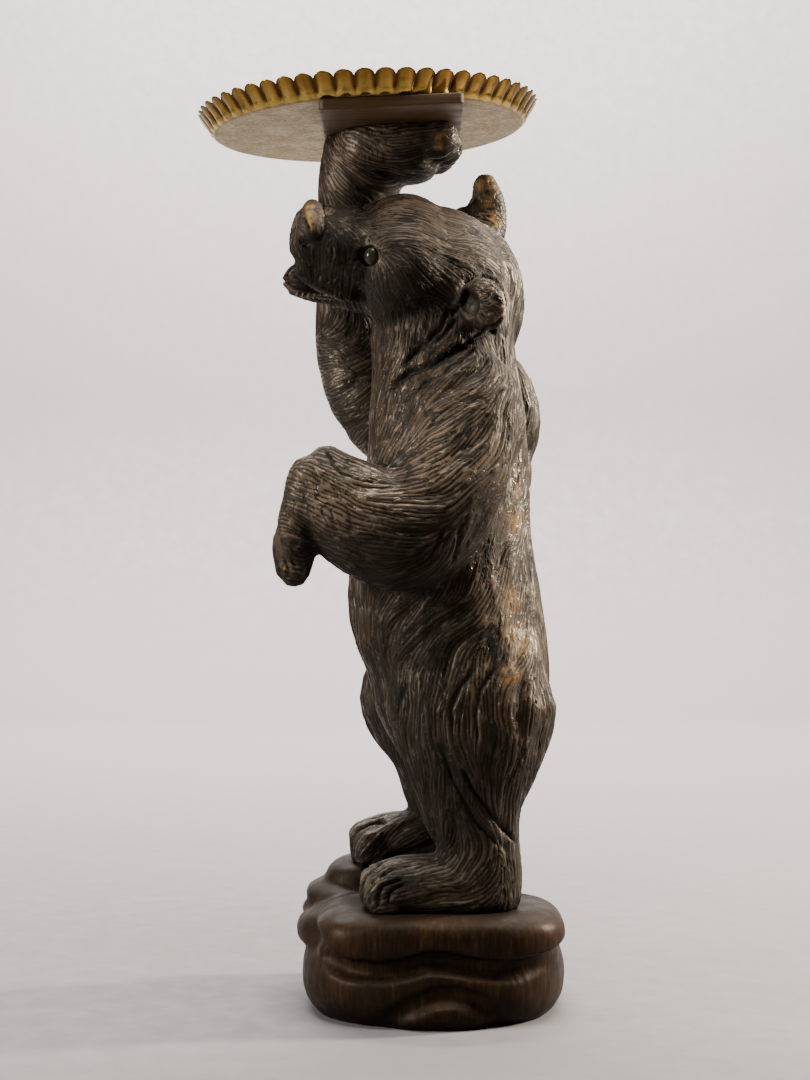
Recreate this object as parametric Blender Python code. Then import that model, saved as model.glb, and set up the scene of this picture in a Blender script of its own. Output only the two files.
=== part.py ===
"""A carved wooden bear on a rock base, holding a round brass tray on a raised paw.

Frame: metres, +Z up, origin under the middle of the rock base, on the surface that it stands on.
The bear faces -X, and its left side is turned to -Y.
"""

import math

import bmesh
import bpy
import numpy as np
from mathutils import Matrix, Vector
from mathutils.bvhtree import BVHTree
from mathutils.kdtree import KDTree

# Sizes that drive the model, in metres and degrees
FIGURE_HEIGHT = 0.777
NEAR_SEAT_HEIGHT = 0.105
FAR_SEAT_RISE = 0.025
BASE_LENGTH = 0.276
BASE_WIDTH = 0.268
SEAT_GAP = 0.0003

# Ledges of the rock under the feet, and the lower shoulder of rock between them
LEDGE_THICKNESS = 0.066
FAR_LEDGE_THICKNESS = 0.06
LEDGE_CROWN = 0.006
SHOULDER_THICKNESS = 0.05
SHOULDER_DROP = 0.006
FAR_LIP_THICKNESS = 0.055
FAR_LIP_RISE = 0.01

# Recess under the ledges and arch in front of the rock
FOLD_HALF_WIDTH = 0.013
FOLD_DEPTH = 0.009
FOLD_SAMPLES = 240
ARCH_SHARE = 0.7

PALM_TILT = math.radians(2.75)
BOARD_WIDTH = 0.141
BOARD_LENGTH = 0.26
BOARD_THICKNESS = 0.0105
BOARD_CORNER_RADIUS = 0.006

TRAY_DIAMETER = 0.356
TRAY_FLARE = 0.017
TRAY_RIM_HEIGHT = 0.0235
TRAY_WALL = 0.0015
TRAY_SCALLOPS = 54
SCALLOP_NOTCH_DEPTH = 0.0045
SCALLOP_NOTCH_DROP = 0.0045
TRAY_OFFSET_FORWARD = 0.0245
TRAY_OFFSET_SIDE = 0.03

# The figure is laid out on a carver's grid that stands 777 units high,
# with z counted from the left sole
GRID_HEIGHT = 777.0
UNIT = FIGURE_HEIGHT / GRID_HEIGHT
FAR_SOLE_GRID = FAR_SEAT_RISE / UNIT
PALM_GRID = (-38.0, 50.0, GRID_HEIGHT)

# Head: place of the skull's middle on the grid, with its turn
HEAD_CENTRE = (15.0, -14.0, 633.0)
HEAD_PITCH = math.radians(18)
HEAD_ROLL = math.radians(49)
HEAD_YAW = math.radians(6)
EAR_TURN = math.radians(45)
EAR_PLACES = {1: (-16.0, 89.0, 34.0), -1: (-36.0, -90.0, 27.0)}
EYE_PLACES = {1: (86.5, 36.0, 15.0), -1: (83.0, -36.5, 11.0)}

# Middle of the recess under the ledges and of the arch, across the front of the rock:
# x as a share of its half length, and height as a share of the near seat's
RECESS_LINE = (
    (-1.0, 0.74), (-0.8, 0.72), (-0.76, 0.62), (-0.62, 0.52), (-0.37, 0.5), (-0.2, 0.54), (-0.03, 0.61),
    (0.14, 0.6), (0.3, 0.55), (0.51, 0.52), (0.76, 0.57), (0.9, 0.65), (1.0, 0.67),
)
RECESS_BEHIND = 0.88
ARCH_LINE = (
    (-0.32, 0.07), (-0.16, 0.19), (0.01, 0.29), (0.16, 0.31), (0.3, 0.26), (0.43, 0.17), (0.51, 0.07),
)

# Locks of hair, in grid units: how far apart, how wide and how deep their furrows are
LOCK_SPACING = 30.0
LOCK_LENGTH = 92.0
LOCK_HALF_WIDTH = 10.0
LOCK_DEPTH = 4.6
LOCK_SWEEP = 0.45
LOCK_REACH = 9.0
LOCK_OVERLAP = 1.15
LOCK_SAMPLES = 30

EYE_GRID = 7.0
MOUTH_GRID = 50.0
FINGER_LEAN = math.radians(18)

# Finish of the surfaces
FIGURE_MESH_GRID = 4.2
FIGURE_SMOOTHING = 3
FIGURE_TRIANGLES = 6200
BASE_MESH = 0.0045
BASE_SMOOTHING = 6
BASE_TRIANGLES = 1400

RING_SIDES = 24
WOOD_COLOUR = (0.045, 0.028, 0.018)
ROCK_COLOUR = (0.05, 0.032, 0.022)
BOARD_COLOUR = (0.09, 0.05, 0.028)
BRASS_COLOUR = (0.55, 0.38, 0.12)


def clear_scene():
    for item in list(bpy.data.objects):
        bpy.data.objects.remove(item, do_unlink=True)


def surface(name, colour, roughness, metallic=0.0):
    material = bpy.data.materials.new(name)
    material.use_nodes = True
    shader = material.node_tree.nodes["Principled BSDF"]
    shader.inputs["Base Color"].default_value = (*colour, 1.0)
    shader.inputs["Roughness"].default_value = roughness
    shader.inputs["Metallic"].default_value = metallic
    material.diffuse_color = (*colour, 1.0)
    return material


def add_object(name, bm, material=None):
    mesh = bpy.data.meshes.new(name)
    bm.to_mesh(mesh)
    bm.free()
    item = bpy.data.objects.new(name, mesh)
    bpy.context.scene.collection.objects.link(item)
    if material:
        mesh.materials.append(material)
    return item


def add_cutter(name, bm):
    cutter = add_object(name, bm)
    cutter.hide_render = True
    cutter.display_type = "WIRE"
    return cutter


def grid_point(x, y, z):
    """Place of a point of the carver's grid in the model."""
    return Vector((x * UNIT, y * UNIT, NEAR_SEAT_HEIGHT + z * UNIT))


def body_frame():
    """Matrix from the carver's grid to the model."""
    return Matrix.Translation(grid_point(0, 0, 0)) @ Matrix.Scale(UNIT, 4)


def head_frame():
    """Matrix from the head's own axes (forward, left, up) to the model."""
    left = Vector((0, -math.cos(HEAD_ROLL), -math.sin(HEAD_ROLL)))
    crown = Vector((0, -math.sin(HEAD_ROLL), math.cos(HEAD_ROLL)))
    forward = crown * math.sin(HEAD_PITCH) - Vector((math.cos(HEAD_PITCH), 0, 0))
    turn = Matrix((forward, left, forward.cross(left))).transposed().to_4x4()
    turn = Matrix.Rotation(HEAD_YAW, 4, "Z") @ turn
    return Matrix.Translation(grid_point(*HEAD_CENTRE)) @ turn @ Matrix.Scale(UNIT, 4)


def signed_power(value, power):
    return math.copysign(abs(value) ** power, value)


def ring(bm, centre, front, side, half_front, half_side, squareness):
    """Closed loop of vertices on a rounded section across a limb."""
    loop = bmesh.ops.create_circle(bm, segments=RING_SIDES, radius=1.0)["verts"]
    for vert in loop:
        x, y = vert.co.x, vert.co.y
        x = signed_power(x, squareness) * half_front
        y = signed_power(y, squareness) * half_side
        vert.co = centre + front * x + side * y
    return loop


def loop_edges(loop):
    members = set(loop)
    edges = dict.fromkeys(edge for vert in loop for edge in vert.link_edges)
    return [edge for edge in edges if members.issuperset(edge.verts)]


def eased(stations):
    """The sections with two more between each pair, on a smooth curve through all of them."""
    last = len(stations) - 1
    result = []
    for index in range(last):
        corners = [stations[min(max(index + step, 0), last)] for step in (-1, 0, 1, 2)]
        for t in (0, 1 / 3, 2 / 3):
            result.append([
                b + 0.5 * t * (c - a + t * (2 * a - 5 * b + 4 * c - d + t * (3 * (b - c) + d - a)))
                for a, b, c, d in zip(*corners)
            ])
    return result + [stations[-1]]


def limb(bm, frame, stations, side=(0, 1, 0), squareness=1.0):
    """Skin through rounded sections (x, y, z, half depth, half width), with domed ends."""
    side = Vector(side)
    stations = eased(stations)
    centres = [Vector(station[:3]) for station in stations]
    last = len(stations) - 1
    rings = []
    skin = []
    for index, station in enumerate(stations):
        before = centres[max(index - 1, 0)]
        after = centres[min(index + 1, last)]
        along = (after - before).normalized()
        across = (side - along * side.dot(along)).normalized()
        front = across.cross(along)
        half_front, half_side = station[3], station[4]
        skin.append((centres[index], front * half_front, across * half_side))
        shares = [0.0]
        if index == 0:
            shares = [-0.8, -0.5, 0.0]
        elif index == last:
            shares = [0.0, 0.5, 0.8]
        for share in shares:
            shrink = math.sqrt(1 - share * share)
            centre = centres[index] + along * share * min(half_front, half_side)
            rings.append(
                ring(bm, centre, front, across, half_front * shrink, half_side * shrink, squareness)
            )
    for lower, upper in zip(rings, rings[1:]):
        bmesh.ops.bridge_loops(bm, edges=loop_edges(lower) + loop_edges(upper))
    for end in (rings[0], rings[-1]):
        bmesh.ops.contextual_create(bm, geom=loop_edges(end))
    verts = [vert for loop in rings for vert in loop]
    bmesh.ops.transform(bm, matrix=frame, verts=verts)
    return skin


def blob(bm, frame, centre, radii, lean=0.0, turn=0.0, squareness=1.0, sides=RING_SIDES):
    """Rounded mass, leant about the side axis and turned about the upright one.

    Squareness below 1 makes it fuller at the corners.
    """
    verts = bmesh.ops.create_uvsphere(
        bm, u_segments=sides, v_segments=sides // 2, radius=1.0)["verts"]
    for vert in verts:
        for axis in range(3):
            vert.co[axis] = signed_power(vert.co[axis], squareness)
    spin = Matrix.Rotation(turn, 4, "Z") @ Matrix.Rotation(lean, 4, "Y")
    place = frame @ Matrix.Translation(centre) @ spin @ Matrix.Diagonal((*radii, 1))
    bmesh.ops.transform(bm, matrix=place, verts=verts)


def carve_torso(bm, frame):
    """Belly, back, chest and neck, from the hips up."""
    trunk = limb(bm, frame, (
        (40, 3, 130, 60, 66),
        (36, 2, 160, 74, 84),
        (33, 2, 195, 88, 93),
        (27, 2, 245, 93, 97),
        (15, 2, 293, 98, 96),
        (13, 2, 345, 93, 93),
        (17, 2, 395, 85, 90),
        (18, 2, 445, 82, 90),
        (17, 2, 485, 79, 88),
        (15, 0, 525, 74, 80),
        (13, -4, 565, 72, 70),
        (16, -8, 600, 68, 62),
    ))
    blob(bm, frame, (34, 9, 600), (63, 48, 84))
    blob(bm, frame, (42, 58, 480), (75, 47, 88))
    blob(bm, frame, (44, 48, 428), (63, 46, 62))
    blob(bm, frame, (34, -62, 475), (60, 44, 72))
    return [trunk]


def carve_leg(bm, frame, side, forward, sole, knee=0.0):
    """Thigh, shank and flat foot; side is -1 for the bear's left, and knee swells the thigh's front."""
    y = side * 64
    swell = knee / 2
    leg = limb(bm, frame, (
        (46 - forward, side * 50, 250, 66, 40),
        (40 - forward - swell, side * 56, 205, 83 + swell, 46),
        (41 - forward - swell, side * 58, 176, 81 + swell, 47),
        (40 - forward, side * 60, 136, 67, 45),
        (40 - forward, side * 61, 98, 52, 41),
        (46 - forward, side * 62, 62, 42, 37),
        (45 - forward, y, 38, 45, 36),
        (42 - forward, y, 14, 47, 37),
    ))
    limb(bm, frame, (
        (50 - forward, y, sole + 18, 30, 37),
        (18 - forward, y, sole + 20, 32, 39),
        (-22 - forward, y - side * 2, sole + 20, 31, 40),
        (-46 - forward, y - side * 3, sole + 18, 27, 38),
    ), squareness=0.85)
    for toe in range(5):
        spread = (toe - 2) * 16.5
        reach = 50 - abs(toe - 2) * 3.5
        blob(bm, frame, (-reach - forward, y - side * 3 + spread, sole + 15), (21, 10, 23))
    return [leg]


def carve_raised_arm(bm, frame):
    """Right arm from the shoulder up to the paw that carries the board."""
    arm = limb(bm, frame, (
        (30, 60, 452, 50, 38),
        (-6, 74, 462, 50, 40),
        (-38, 84, 484, 48, 40),
        (-62, 90, 514, 46, 40),
        (-74, 93, 556, 45, 40),
        (-77, 93, 605, 43, 39),
        (-76, 88, 655, 42, 38),
        (-74, 78, 700, 43, 38),
        (-72, 68, 732, 44, 42),
        (-64, 58, 755, 48, 48),
    ))
    limb(bm, frame, (
        (-67, 54, 760, 28, 54),
        (-36, 50, 761, 27, 59),
        (-4, 48, 764, 22, 58),
    ), squareness=0.6)
    blob(bm, frame, (-22, 46, 742), (32, 42, 17))
    for finger in range(5):
        spread = (finger - 2) * 22.5
        reach = 13 - abs(finger - 2) * 3
        blob(bm, frame, (reach, 47 + spread, 762), (24, 13, 20), lean=-FINGER_LEAN)
    return [arm]


def carve_bent_arm(bm, frame):
    """Left arm: upper arm down the side, forearm forward, paw hanging."""
    arm = limb(bm, frame, (
        (44, -70, 498, 46, 34),
        (30, -82, 450, 54, 38),
        (8, -90, 398, 58, 41),
        (-24, -95, 367, 59, 42),
        (-54, -98, 373, 56, 40),
        (-82, -98, 391, 51, 37),
        (-106, -97, 415, 39, 31),
    ))
    limb(bm, frame, (
        (-110, -97, 412, 31, 28),
        (-119, -97, 390, 25, 25),
        (-127, -97, 368, 23, 24),
        (-131, -97, 348, 22, 24),
        (-132, -97, 334, 19, 22),
    ))
    for finger in range(4):
        spread = (finger - 1.5) * 12.5
        blob(bm, frame, (-131, -97 + spread, 328), (15, 7.5, 16))
    return [arm]


def ear_frame(frame, side):
    """Matrix of an ear: x along the way that its cup opens, y outwards and back, z up."""
    turn = Matrix.Rotation(side * EAR_TURN, 4, "Z")
    return frame @ Matrix.Translation(EAR_PLACES[side]) @ turn


def carve_head(bm, frame):
    """Skull, cheeks, brow, open muzzle and ears, in the head's own axes."""
    blob(bm, frame, (3, 5, -4), (65, 70, 55), squareness=0.9)
    blob(bm, frame, (42, 4, 2), (52, 70, 50), squareness=0.88)
    for side in (1, -1):
        blob(bm, frame, (28, side * 40, -26), (48, 32, 40))
        limb(bm, frame, (
            (92, side * 38, -35, 12, 9),
            (120, side * 33, -36, 11, 9),
            (141, side * 24, -34, 9, 9),
        ))
    limb(bm, frame, (
        (50, 0, -4, 40, 52),
        (85, 0, -7, 33, 45),
        (117, 0, -8, 31, 40),
        (136, 0, -9, 28, 33),
    ), squareness=0.82)
    limb(bm, frame, (
        (30, 0, -40, 30, 44),
        (70, 0, -46, 24, 40),
        (100, 0, -56, 17, 33),
        (124, 1, -67, 11, 25),
        (137, 2, -74, 7, 16),
    ), squareness=0.8)
    blob(bm, ear_frame(frame, 1), (0, 0, 0), (12, 28, 28))
    limb(bm, frame, (
        (-40, -62, 2, 20, 30),
        (-42, -78, 15, 15, 28),
        (-40, -94, 30, 12, 20),
        (-38, -104, 39, 8, 11),
    ), side=(-0.87, 0.49, -0.04))
    blob(bm, frame, (146, 0, 12), (12, 26, 14))


def head_hollows(frame):
    """Cutter for the open mouth between the jaws and for the cups of the ears."""
    bm = bmesh.new()
    loop = []
    for forward, up in ((90, -45), (176, -43), (176, -88), (146, -71), (120, -57)):
        loop.append(bm.verts.new((forward, -MOUTH_GRID, up)))
    face = bm.faces.new(loop)
    pushed = bmesh.ops.extrude_face_region(bm, geom=[face])["geom"]
    verts = [item for item in pushed if isinstance(item, bmesh.types.BMVert)]
    bmesh.ops.translate(bm, verts=verts, vec=(0, 2 * MOUTH_GRID, 0))
    bmesh.ops.recalc_face_normals(bm, faces=bm.faces)
    bmesh.ops.transform(bm, matrix=frame, verts=bm.verts)
    for side in (1, -1):
        blob(bm, ear_frame(frame, side), (12, side * -12, -4), (15, 12, 15), sides=12)
    return add_cutter("head_hollows", bm)


def eyes(frame):
    """Round beads under the brow, sunk in the carving."""
    bm = bmesh.new()
    for side in (1, -1):
        place = frame @ Matrix.Translation(EYE_PLACES[side]) @ Matrix.Scale(EYE_GRID, 4)
        bmesh.ops.create_icosphere(bm, subdivisions=2, radius=1.0, matrix=place)
    return add_cutter("eyes", bm)


def box_between(bm, low, high):
    """Plain box from its lowest to its highest corner."""
    low, high = Vector(low), Vector(high)
    verts = bmesh.ops.create_cube(bm, size=1.0)["verts"]
    place = Matrix.Translation((low + high) / 2) @ Matrix.Diagonal((*(high - low), 1))
    bmesh.ops.transform(bm, matrix=place, verts=verts)
    return verts


def palm_frame():
    """Matrix of the tilted plane on which the board lies."""
    return Matrix.Translation(grid_point(*PALM_GRID)) @ Matrix.Rotation(-PALM_TILT, 4, "Y")


def flats_cutter():
    """Blocks that cut both soles and the palm flat."""
    bm = bmesh.new()
    reach = FIGURE_HEIGHT / 2
    near_sole = NEAR_SEAT_HEIGHT + SEAT_GAP
    far_sole = near_sole + FAR_SEAT_RISE
    box_between(bm, (-reach, -reach, near_sole - reach), (reach, 0, near_sole))
    box_between(bm, (-reach, SEAT_GAP, far_sole - reach), (reach, reach, far_sole))
    block = box_between(bm, (-reach, -reach, -SEAT_GAP), (reach, reach, reach))
    bmesh.ops.transform(bm, matrix=palm_frame(), verts=block)
    return add_cutter("flats_cutter", bm)


def keep_result(item):
    """Keep the evaluated mesh and drop the modifiers."""
    graph = bpy.context.evaluated_depsgraph_get()
    mesh = bpy.data.meshes.new_from_object(item.evaluated_get(graph))
    item.modifiers.clear()
    item.data = mesh


def melt_together(item, voxel, smoothing):
    """Fuse the overlapping masses of an object and soften them."""
    fuse = item.modifiers.new("fuse", "REMESH")
    fuse.mode = "VOXEL"
    fuse.voxel_size = voxel
    soften = item.modifiers.new("soften", "SMOOTH")
    soften.factor = 0.5
    soften.iterations = smoothing
    keep_result(item)


def thin(item, triangles):
    """Thin the fused mesh down to a number of triangles."""
    present = sum(len(face.vertices) - 2 for face in item.data.polygons)
    fewer = item.modifiers.new("thin", "DECIMATE")
    fewer.ratio = triangles / present
    keep_result(item)


def use_solid(item, solid, operation):
    knife = item.modifiers.new(solid.name, "BOOLEAN")
    knife.operation = operation
    knife.solver = "EXACT"
    knife.object = solid


def skin_point(skin, along, angle):
    """Point on a limb: along runs from 0 at its first section to 1 at its last."""
    place = along * (len(skin) - 1)
    index = min(int(place), len(skin) - 2)
    share = place - index
    centre, front, across = (a.lerp(b, share) for a, b in zip(skin[index], skin[index + 1]))
    return centre + front * math.cos(angle) + across * math.sin(angle)


def lock_strokes(skin):
    """Staggered rows of strokes that run along a limb and wind a little round it."""
    length = sum((b[0] - a[0]).length for a, b in zip(skin, skin[1:]))
    rows = max(1, round(length / LOCK_LENGTH))
    girth = max(item[1].length + item[2].length for item in skin) * math.pi
    around = round(girth / LOCK_SPACING)
    for row in range(rows):
        for column in range(around):
            angle = math.tau * (column + 0.5 * (row % 2)) / around
            stroke = []
            for step in range(LOCK_SAMPLES):
                share = step / (LOCK_SAMPLES - 1)
                along = (row + LOCK_OVERLAP * share) / rows
                turn = angle + LOCK_SWEEP * share * share
                stroke.append(skin_point(skin, min(along, 1.0), turn))
            yield stroke


def press_furrows(item, samples, half_width, depth):
    """Press the mesh in along rows of samples (place, share of the depth)."""
    mesh = item.data
    tree = KDTree(len(samples))
    for index, (spot, _) in enumerate(samples):
        tree.insert(spot, index)
    tree.balance()
    pressed = []
    for vert in mesh.vertices:
        _, index, away = tree.find(vert.co)
        fall = 0.0
        if away < half_width:
            fall = (1 - (away / half_width) ** 2) * samples[index][1]
        pressed.extend(vert.co - vert.normal * fall * depth)
    mesh.vertices.foreach_set("co", pressed)
    mesh.update()


def comb(item, skins, frame):
    """Press the furrows between the locks into the fused mesh."""
    surface_tree = BVHTree.FromObject(item, bpy.context.evaluated_depsgraph_get())
    samples = []
    for skin in skins:
        for stroke in lock_strokes(skin):
            for index, point in enumerate(stroke):
                spot = frame @ point
                nearest, _, _, away = surface_tree.find_nearest(spot)
                if away < LOCK_REACH * UNIT:
                    taper = math.sin(math.pi * (index + 0.5) / len(stroke))
                    samples.append((nearest, taper))
    press_furrows(item, samples, LOCK_HALF_WIDTH * UNIT, LOCK_DEPTH * UNIT)


def make_bear(material):
    bm = bmesh.new()
    frame = body_frame()
    skins = carve_torso(bm, frame)
    skins += carve_leg(bm, frame, side=-1, forward=0, sole=0)
    skins += carve_leg(bm, frame, side=1, forward=15, sole=FAR_SOLE_GRID, knee=12)
    skins += carve_raised_arm(bm, frame)
    skins += carve_bent_arm(bm, frame)
    carve_head(bm, head_frame())
    bmesh.ops.recalc_face_normals(bm, faces=bm.faces)
    bear = add_object("bear", bm, material)
    melt_together(bear, FIGURE_MESH_GRID * UNIT, FIGURE_SMOOTHING)
    comb(bear, skins, frame)
    thin(bear, FIGURE_TRIANGLES)
    for cutter in (head_hollows(head_frame()), flats_cutter()):
        use_solid(bear, cutter, "DIFFERENCE")
    use_solid(bear, eyes(head_frame()), "UNION")
    return bear


def rock_lobe(bm, place, spread, top, thickness, squareness):
    """Rounded lump of rock; place and spread are shares of the base's half length and half width."""
    half_length, half_width = BASE_LENGTH / 2, BASE_WIDTH / 2
    centre = (place[0] * half_length, place[1] * half_width, top - thickness / 2)
    radii = (spread[0] * half_length, spread[1] * half_width, thickness / 2)
    blob(bm, Matrix.Identity(4), centre, radii, squareness=squareness)


def fold_samples(rock):
    """Places along the recess under the ledges and along the arch, with their shares of the depth."""
    tree = BVHTree.FromObject(rock, bpy.context.evaluated_depsgraph_get())
    samples = []
    for step in range(FOLD_SAMPLES):
        angle = math.tau * step / FOLD_SAMPLES
        out = Vector((math.cos(angle), math.sin(angle), 0))
        height = np.interp(out.x, *zip(*RECESS_LINE))
        behind = min(1.0, max(0.0, (out.y + 0.25) / 0.6))
        height += (RECESS_BEHIND - height) * behind
        start = out * BASE_LENGTH + Vector((0, 0, height * NEAR_SEAT_HEIGHT))
        share = min(1.0, max(0.15, 1 + 3 * (out.x + 0.72)))
        samples.append((tree.ray_cast(start, -out)[0], share))
    ends = ARCH_LINE[0][0], ARCH_LINE[-1][0]
    for step in range(1, FOLD_SAMPLES):
        along = step / FOLD_SAMPLES
        x = ends[0] + (ends[1] - ends[0]) * along
        height = np.interp(x, *zip(*ARCH_LINE))
        start = Vector((x * BASE_LENGTH / 2, -BASE_WIDTH, height * NEAR_SEAT_HEIGHT))
        share = ARCH_SHARE * min(1.0, 4 * along, 4 * (1 - along))
        samples.append((tree.ray_cast(start, Vector((0, 1, 0)))[0], share))
    return samples


def make_rock_base(material):
    """Rounded ledges of rock over a broad lower tier, with a level seat under each foot."""
    bm = bmesh.new()
    near_top = NEAR_SEAT_HEIGHT
    far_top = near_top + FAR_SEAT_RISE
    rock_lobe(bm, (0.07, -0.28), (0.905, 0.66), near_top + LEDGE_CROWN, LEDGE_THICKNESS, 0.6)
    rock_lobe(bm, (-0.06, 0.56), (0.74, 0.43), far_top + LEDGE_CROWN, FAR_LEDGE_THICKNESS, 0.6)
    rock_lobe(bm, (-0.6, 0.5), (0.38, 0.44), near_top + FAR_LIP_RISE, FAR_LIP_THICKNESS, 0.85)
    rock_lobe(bm, (-0.44, 0.05), (0.55, 0.55), near_top - SHOULDER_DROP, SHOULDER_THICKNESS, 0.8)
    rock_lobe(bm, (0, 0.1), (0.84, 0.8), near_top * 0.95, near_top, 0.6)
    rock_lobe(bm, (0.025, 0.02), (0.965, 0.98), near_top * 0.88, near_top * 1.1, 0.75)
    rock_lobe(bm, (0.04, -0.54), (0.54, 0.455), near_top * 0.46, near_top * 0.6, 0.9)
    bmesh.ops.recalc_face_normals(bm, faces=bm.faces)
    base = add_object("rock_base", bm, material)
    melt_together(base, BASE_MESH, BASE_SMOOTHING)
    press_furrows(base, fold_samples(base), FOLD_HALF_WIDTH, FOLD_DEPTH)
    thin(base, BASE_TRIANGLES)
    use_solid(base, seat_cutter(), "DIFFERENCE")
    return base


def seat_cutter():
    """Blocks that level the base: its underside and the two seats."""
    bm = bmesh.new()
    reach = BASE_LENGTH
    far_top = NEAR_SEAT_HEIGHT + FAR_SEAT_RISE
    box_between(bm, (-reach, -reach, -reach), (reach, reach, 0))
    box_between(bm, (-reach, -reach, NEAR_SEAT_HEIGHT), (reach, 0, reach))
    box_between(bm, (-reach, SEAT_GAP, far_top), (reach, reach, reach))
    return add_cutter("seat_cutter", bm)


def make_tray_board(material):
    """Flat board with rounded corners, lying on the palm."""
    bm = bmesh.new()
    half = Vector((BOARD_WIDTH / 2, BOARD_LENGTH / 2, 0))
    verts = box_between(bm, -half, half + Vector((0, 0, BOARD_THICKNESS)))
    upright = [edge for edge in bm.edges if abs(edge.verts[0].co.z - edge.verts[1].co.z) > 1e-6]
    bmesh.ops.bevel(bm, geom=upright, offset=BOARD_CORNER_RADIUS, segments=5,
                    profile=0.5, affect="EDGES", material=-1)
    bmesh.ops.transform(bm, matrix=palm_frame(), verts=bm.verts)
    return add_object("tray_board", bm, material)


def shape_scallops(loop, radius, height, wave):
    """Lay a loop round the tray; wave is how far the notches between scallops show."""
    for vert in loop:
        angle = math.atan2(vert.co.y, vert.co.x)
        notch = 1 - abs(math.sin(angle * TRAY_SCALLOPS / 2))
        notch = wave * notch * notch
        reach = radius - notch * SCALLOP_NOTCH_DEPTH
        vert.co = (reach * math.cos(angle), reach * math.sin(angle),
                   height - notch * SCALLOP_NOTCH_DROP)


def raise_wall(bm, loop, radius, height, wave):
    """Extrude a loop of the tray to the next one and shape it."""
    grown = bmesh.ops.extrude_edge_only(bm, edges=loop_edges(loop))["geom"]
    grown = [item for item in grown if isinstance(item, bmesh.types.BMVert)]
    shape_scallops(grown, radius, height, wave)
    return grown


def cap_loop(bm, loop):
    cap = bmesh.ops.contextual_create(bm, geom=loop_edges(loop))["faces"]
    bmesh.ops.poke(bm, faces=cap)


def tray_frame():
    """Matrix from the tray's own axes, at the middle of its underside, to the model."""
    lift = BOARD_THICKNESS + SEAT_GAP
    return palm_frame() @ Matrix.Translation((-TRAY_OFFSET_FORWARD, TRAY_OFFSET_SIDE, lift))


def make_brass_tray(material):
    """Thin round dish: flat floor, and a flared rim of rounded scallops."""
    bm = bmesh.new()
    rim = TRAY_DIAMETER / 2
    foot = rim - TRAY_FLARE
    underside = bmesh.ops.create_circle(bm, segments=TRAY_SCALLOPS * 4, radius=foot)["verts"]
    outer_rim = raise_wall(bm, underside, rim, TRAY_RIM_HEIGHT, 1.0)
    inner_rim = raise_wall(bm, outer_rim, rim - TRAY_WALL, TRAY_RIM_HEIGHT, 1.0)
    floor = raise_wall(bm, inner_rim, foot - TRAY_WALL, TRAY_WALL, 0.0)
    cap_loop(bm, underside)
    cap_loop(bm, floor)
    bmesh.ops.recalc_face_normals(bm, faces=bm.faces)
    bmesh.ops.transform(bm, matrix=tray_frame(), verts=bm.verts)
    return add_object("brass_tray", bm, material)


def main():
    clear_scene()
    make_bear(surface("stained_wood", WOOD_COLOUR, 0.42))
    make_rock_base(surface("smooth_stained_wood", ROCK_COLOUR, 0.45))
    make_tray_board(surface("board_wood", BOARD_COLOUR, 0.5))
    make_brass_tray(surface("aged_brass", BRASS_COLOUR, 0.32, metallic=1.0))


main()
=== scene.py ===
"""A carved wooden bear on a rock base with a round brass tray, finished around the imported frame.

Metres, +Z up, origin under the rock base. The bear faces -X, its left side is turned to -Y.
"""

import math
import random

import bmesh
import bpy
import numpy as np
from bpy.props import FloatProperty, FloatVectorProperty, IntProperty, PointerProperty
from mathutils import Matrix, Vector, noise
from mathutils.bvhtree import BVHTree
from mathutils.kdtree import KDTree


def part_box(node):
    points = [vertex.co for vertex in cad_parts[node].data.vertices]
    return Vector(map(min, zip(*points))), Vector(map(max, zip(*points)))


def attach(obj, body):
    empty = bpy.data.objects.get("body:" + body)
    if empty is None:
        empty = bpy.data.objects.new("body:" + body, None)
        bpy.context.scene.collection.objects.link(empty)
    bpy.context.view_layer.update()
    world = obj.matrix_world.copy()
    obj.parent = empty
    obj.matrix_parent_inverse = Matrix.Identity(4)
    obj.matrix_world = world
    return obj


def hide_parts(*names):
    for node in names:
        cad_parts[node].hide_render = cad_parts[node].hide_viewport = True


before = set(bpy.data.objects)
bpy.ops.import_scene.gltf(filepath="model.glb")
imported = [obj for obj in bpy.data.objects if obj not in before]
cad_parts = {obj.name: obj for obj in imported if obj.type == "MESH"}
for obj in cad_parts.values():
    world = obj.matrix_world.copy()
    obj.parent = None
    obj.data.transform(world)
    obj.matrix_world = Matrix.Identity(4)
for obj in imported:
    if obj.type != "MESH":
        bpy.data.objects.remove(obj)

bl_info = {
    "name": "Carved bear with a tray",
    "version": (1, 0, 0),
    "blender": (4, 5, 0),
    "location": "3D View > Sidebar > Carved bear",
    "description": "Carves, stains and lights a wooden bear that carries a brass tray",
    "category": "Object",
}

BODY = "root"
MM = 0.001

# The figure is laid out on a carver's grid that stands 777 units high, from the left sole up
GRID_HEIGHT = 777.0
SEAT_GAP = 0.0003
NEAR_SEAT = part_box("bear")[0].z - SEAT_GAP
FAR_SEAT_RISE = 0.025
FOOT_HEIGHT = 0.05
PALM_TILT = math.radians(2.75)
PALM_GRID = (-38.0, 50.0, GRID_HEIGHT)
FINGER_LEAN = math.radians(18)

# Head: place of the skull's middle on the grid, with its turn
HEAD_CENTRE = (15.0, -14.0, 633.0)
HEAD_PITCH = math.radians(18)
HEAD_ROLL = math.radians(49)
HEAD_YAW = math.radians(6)
EAR_TURN = math.radians(45)
EAR_PLACES = {1: (-16.0, 89.0, 34.0), -1: (-36.0, -90.0, 27.0)}
EYE_PLACES = {1: (86.5, 36.0, 15.0), -1: (83.0, -36.5, 11.0)}

RING_SIDES = 24
BEAR_TRIANGLES = 196000
BASE_TRIANGLES = 60000

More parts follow.
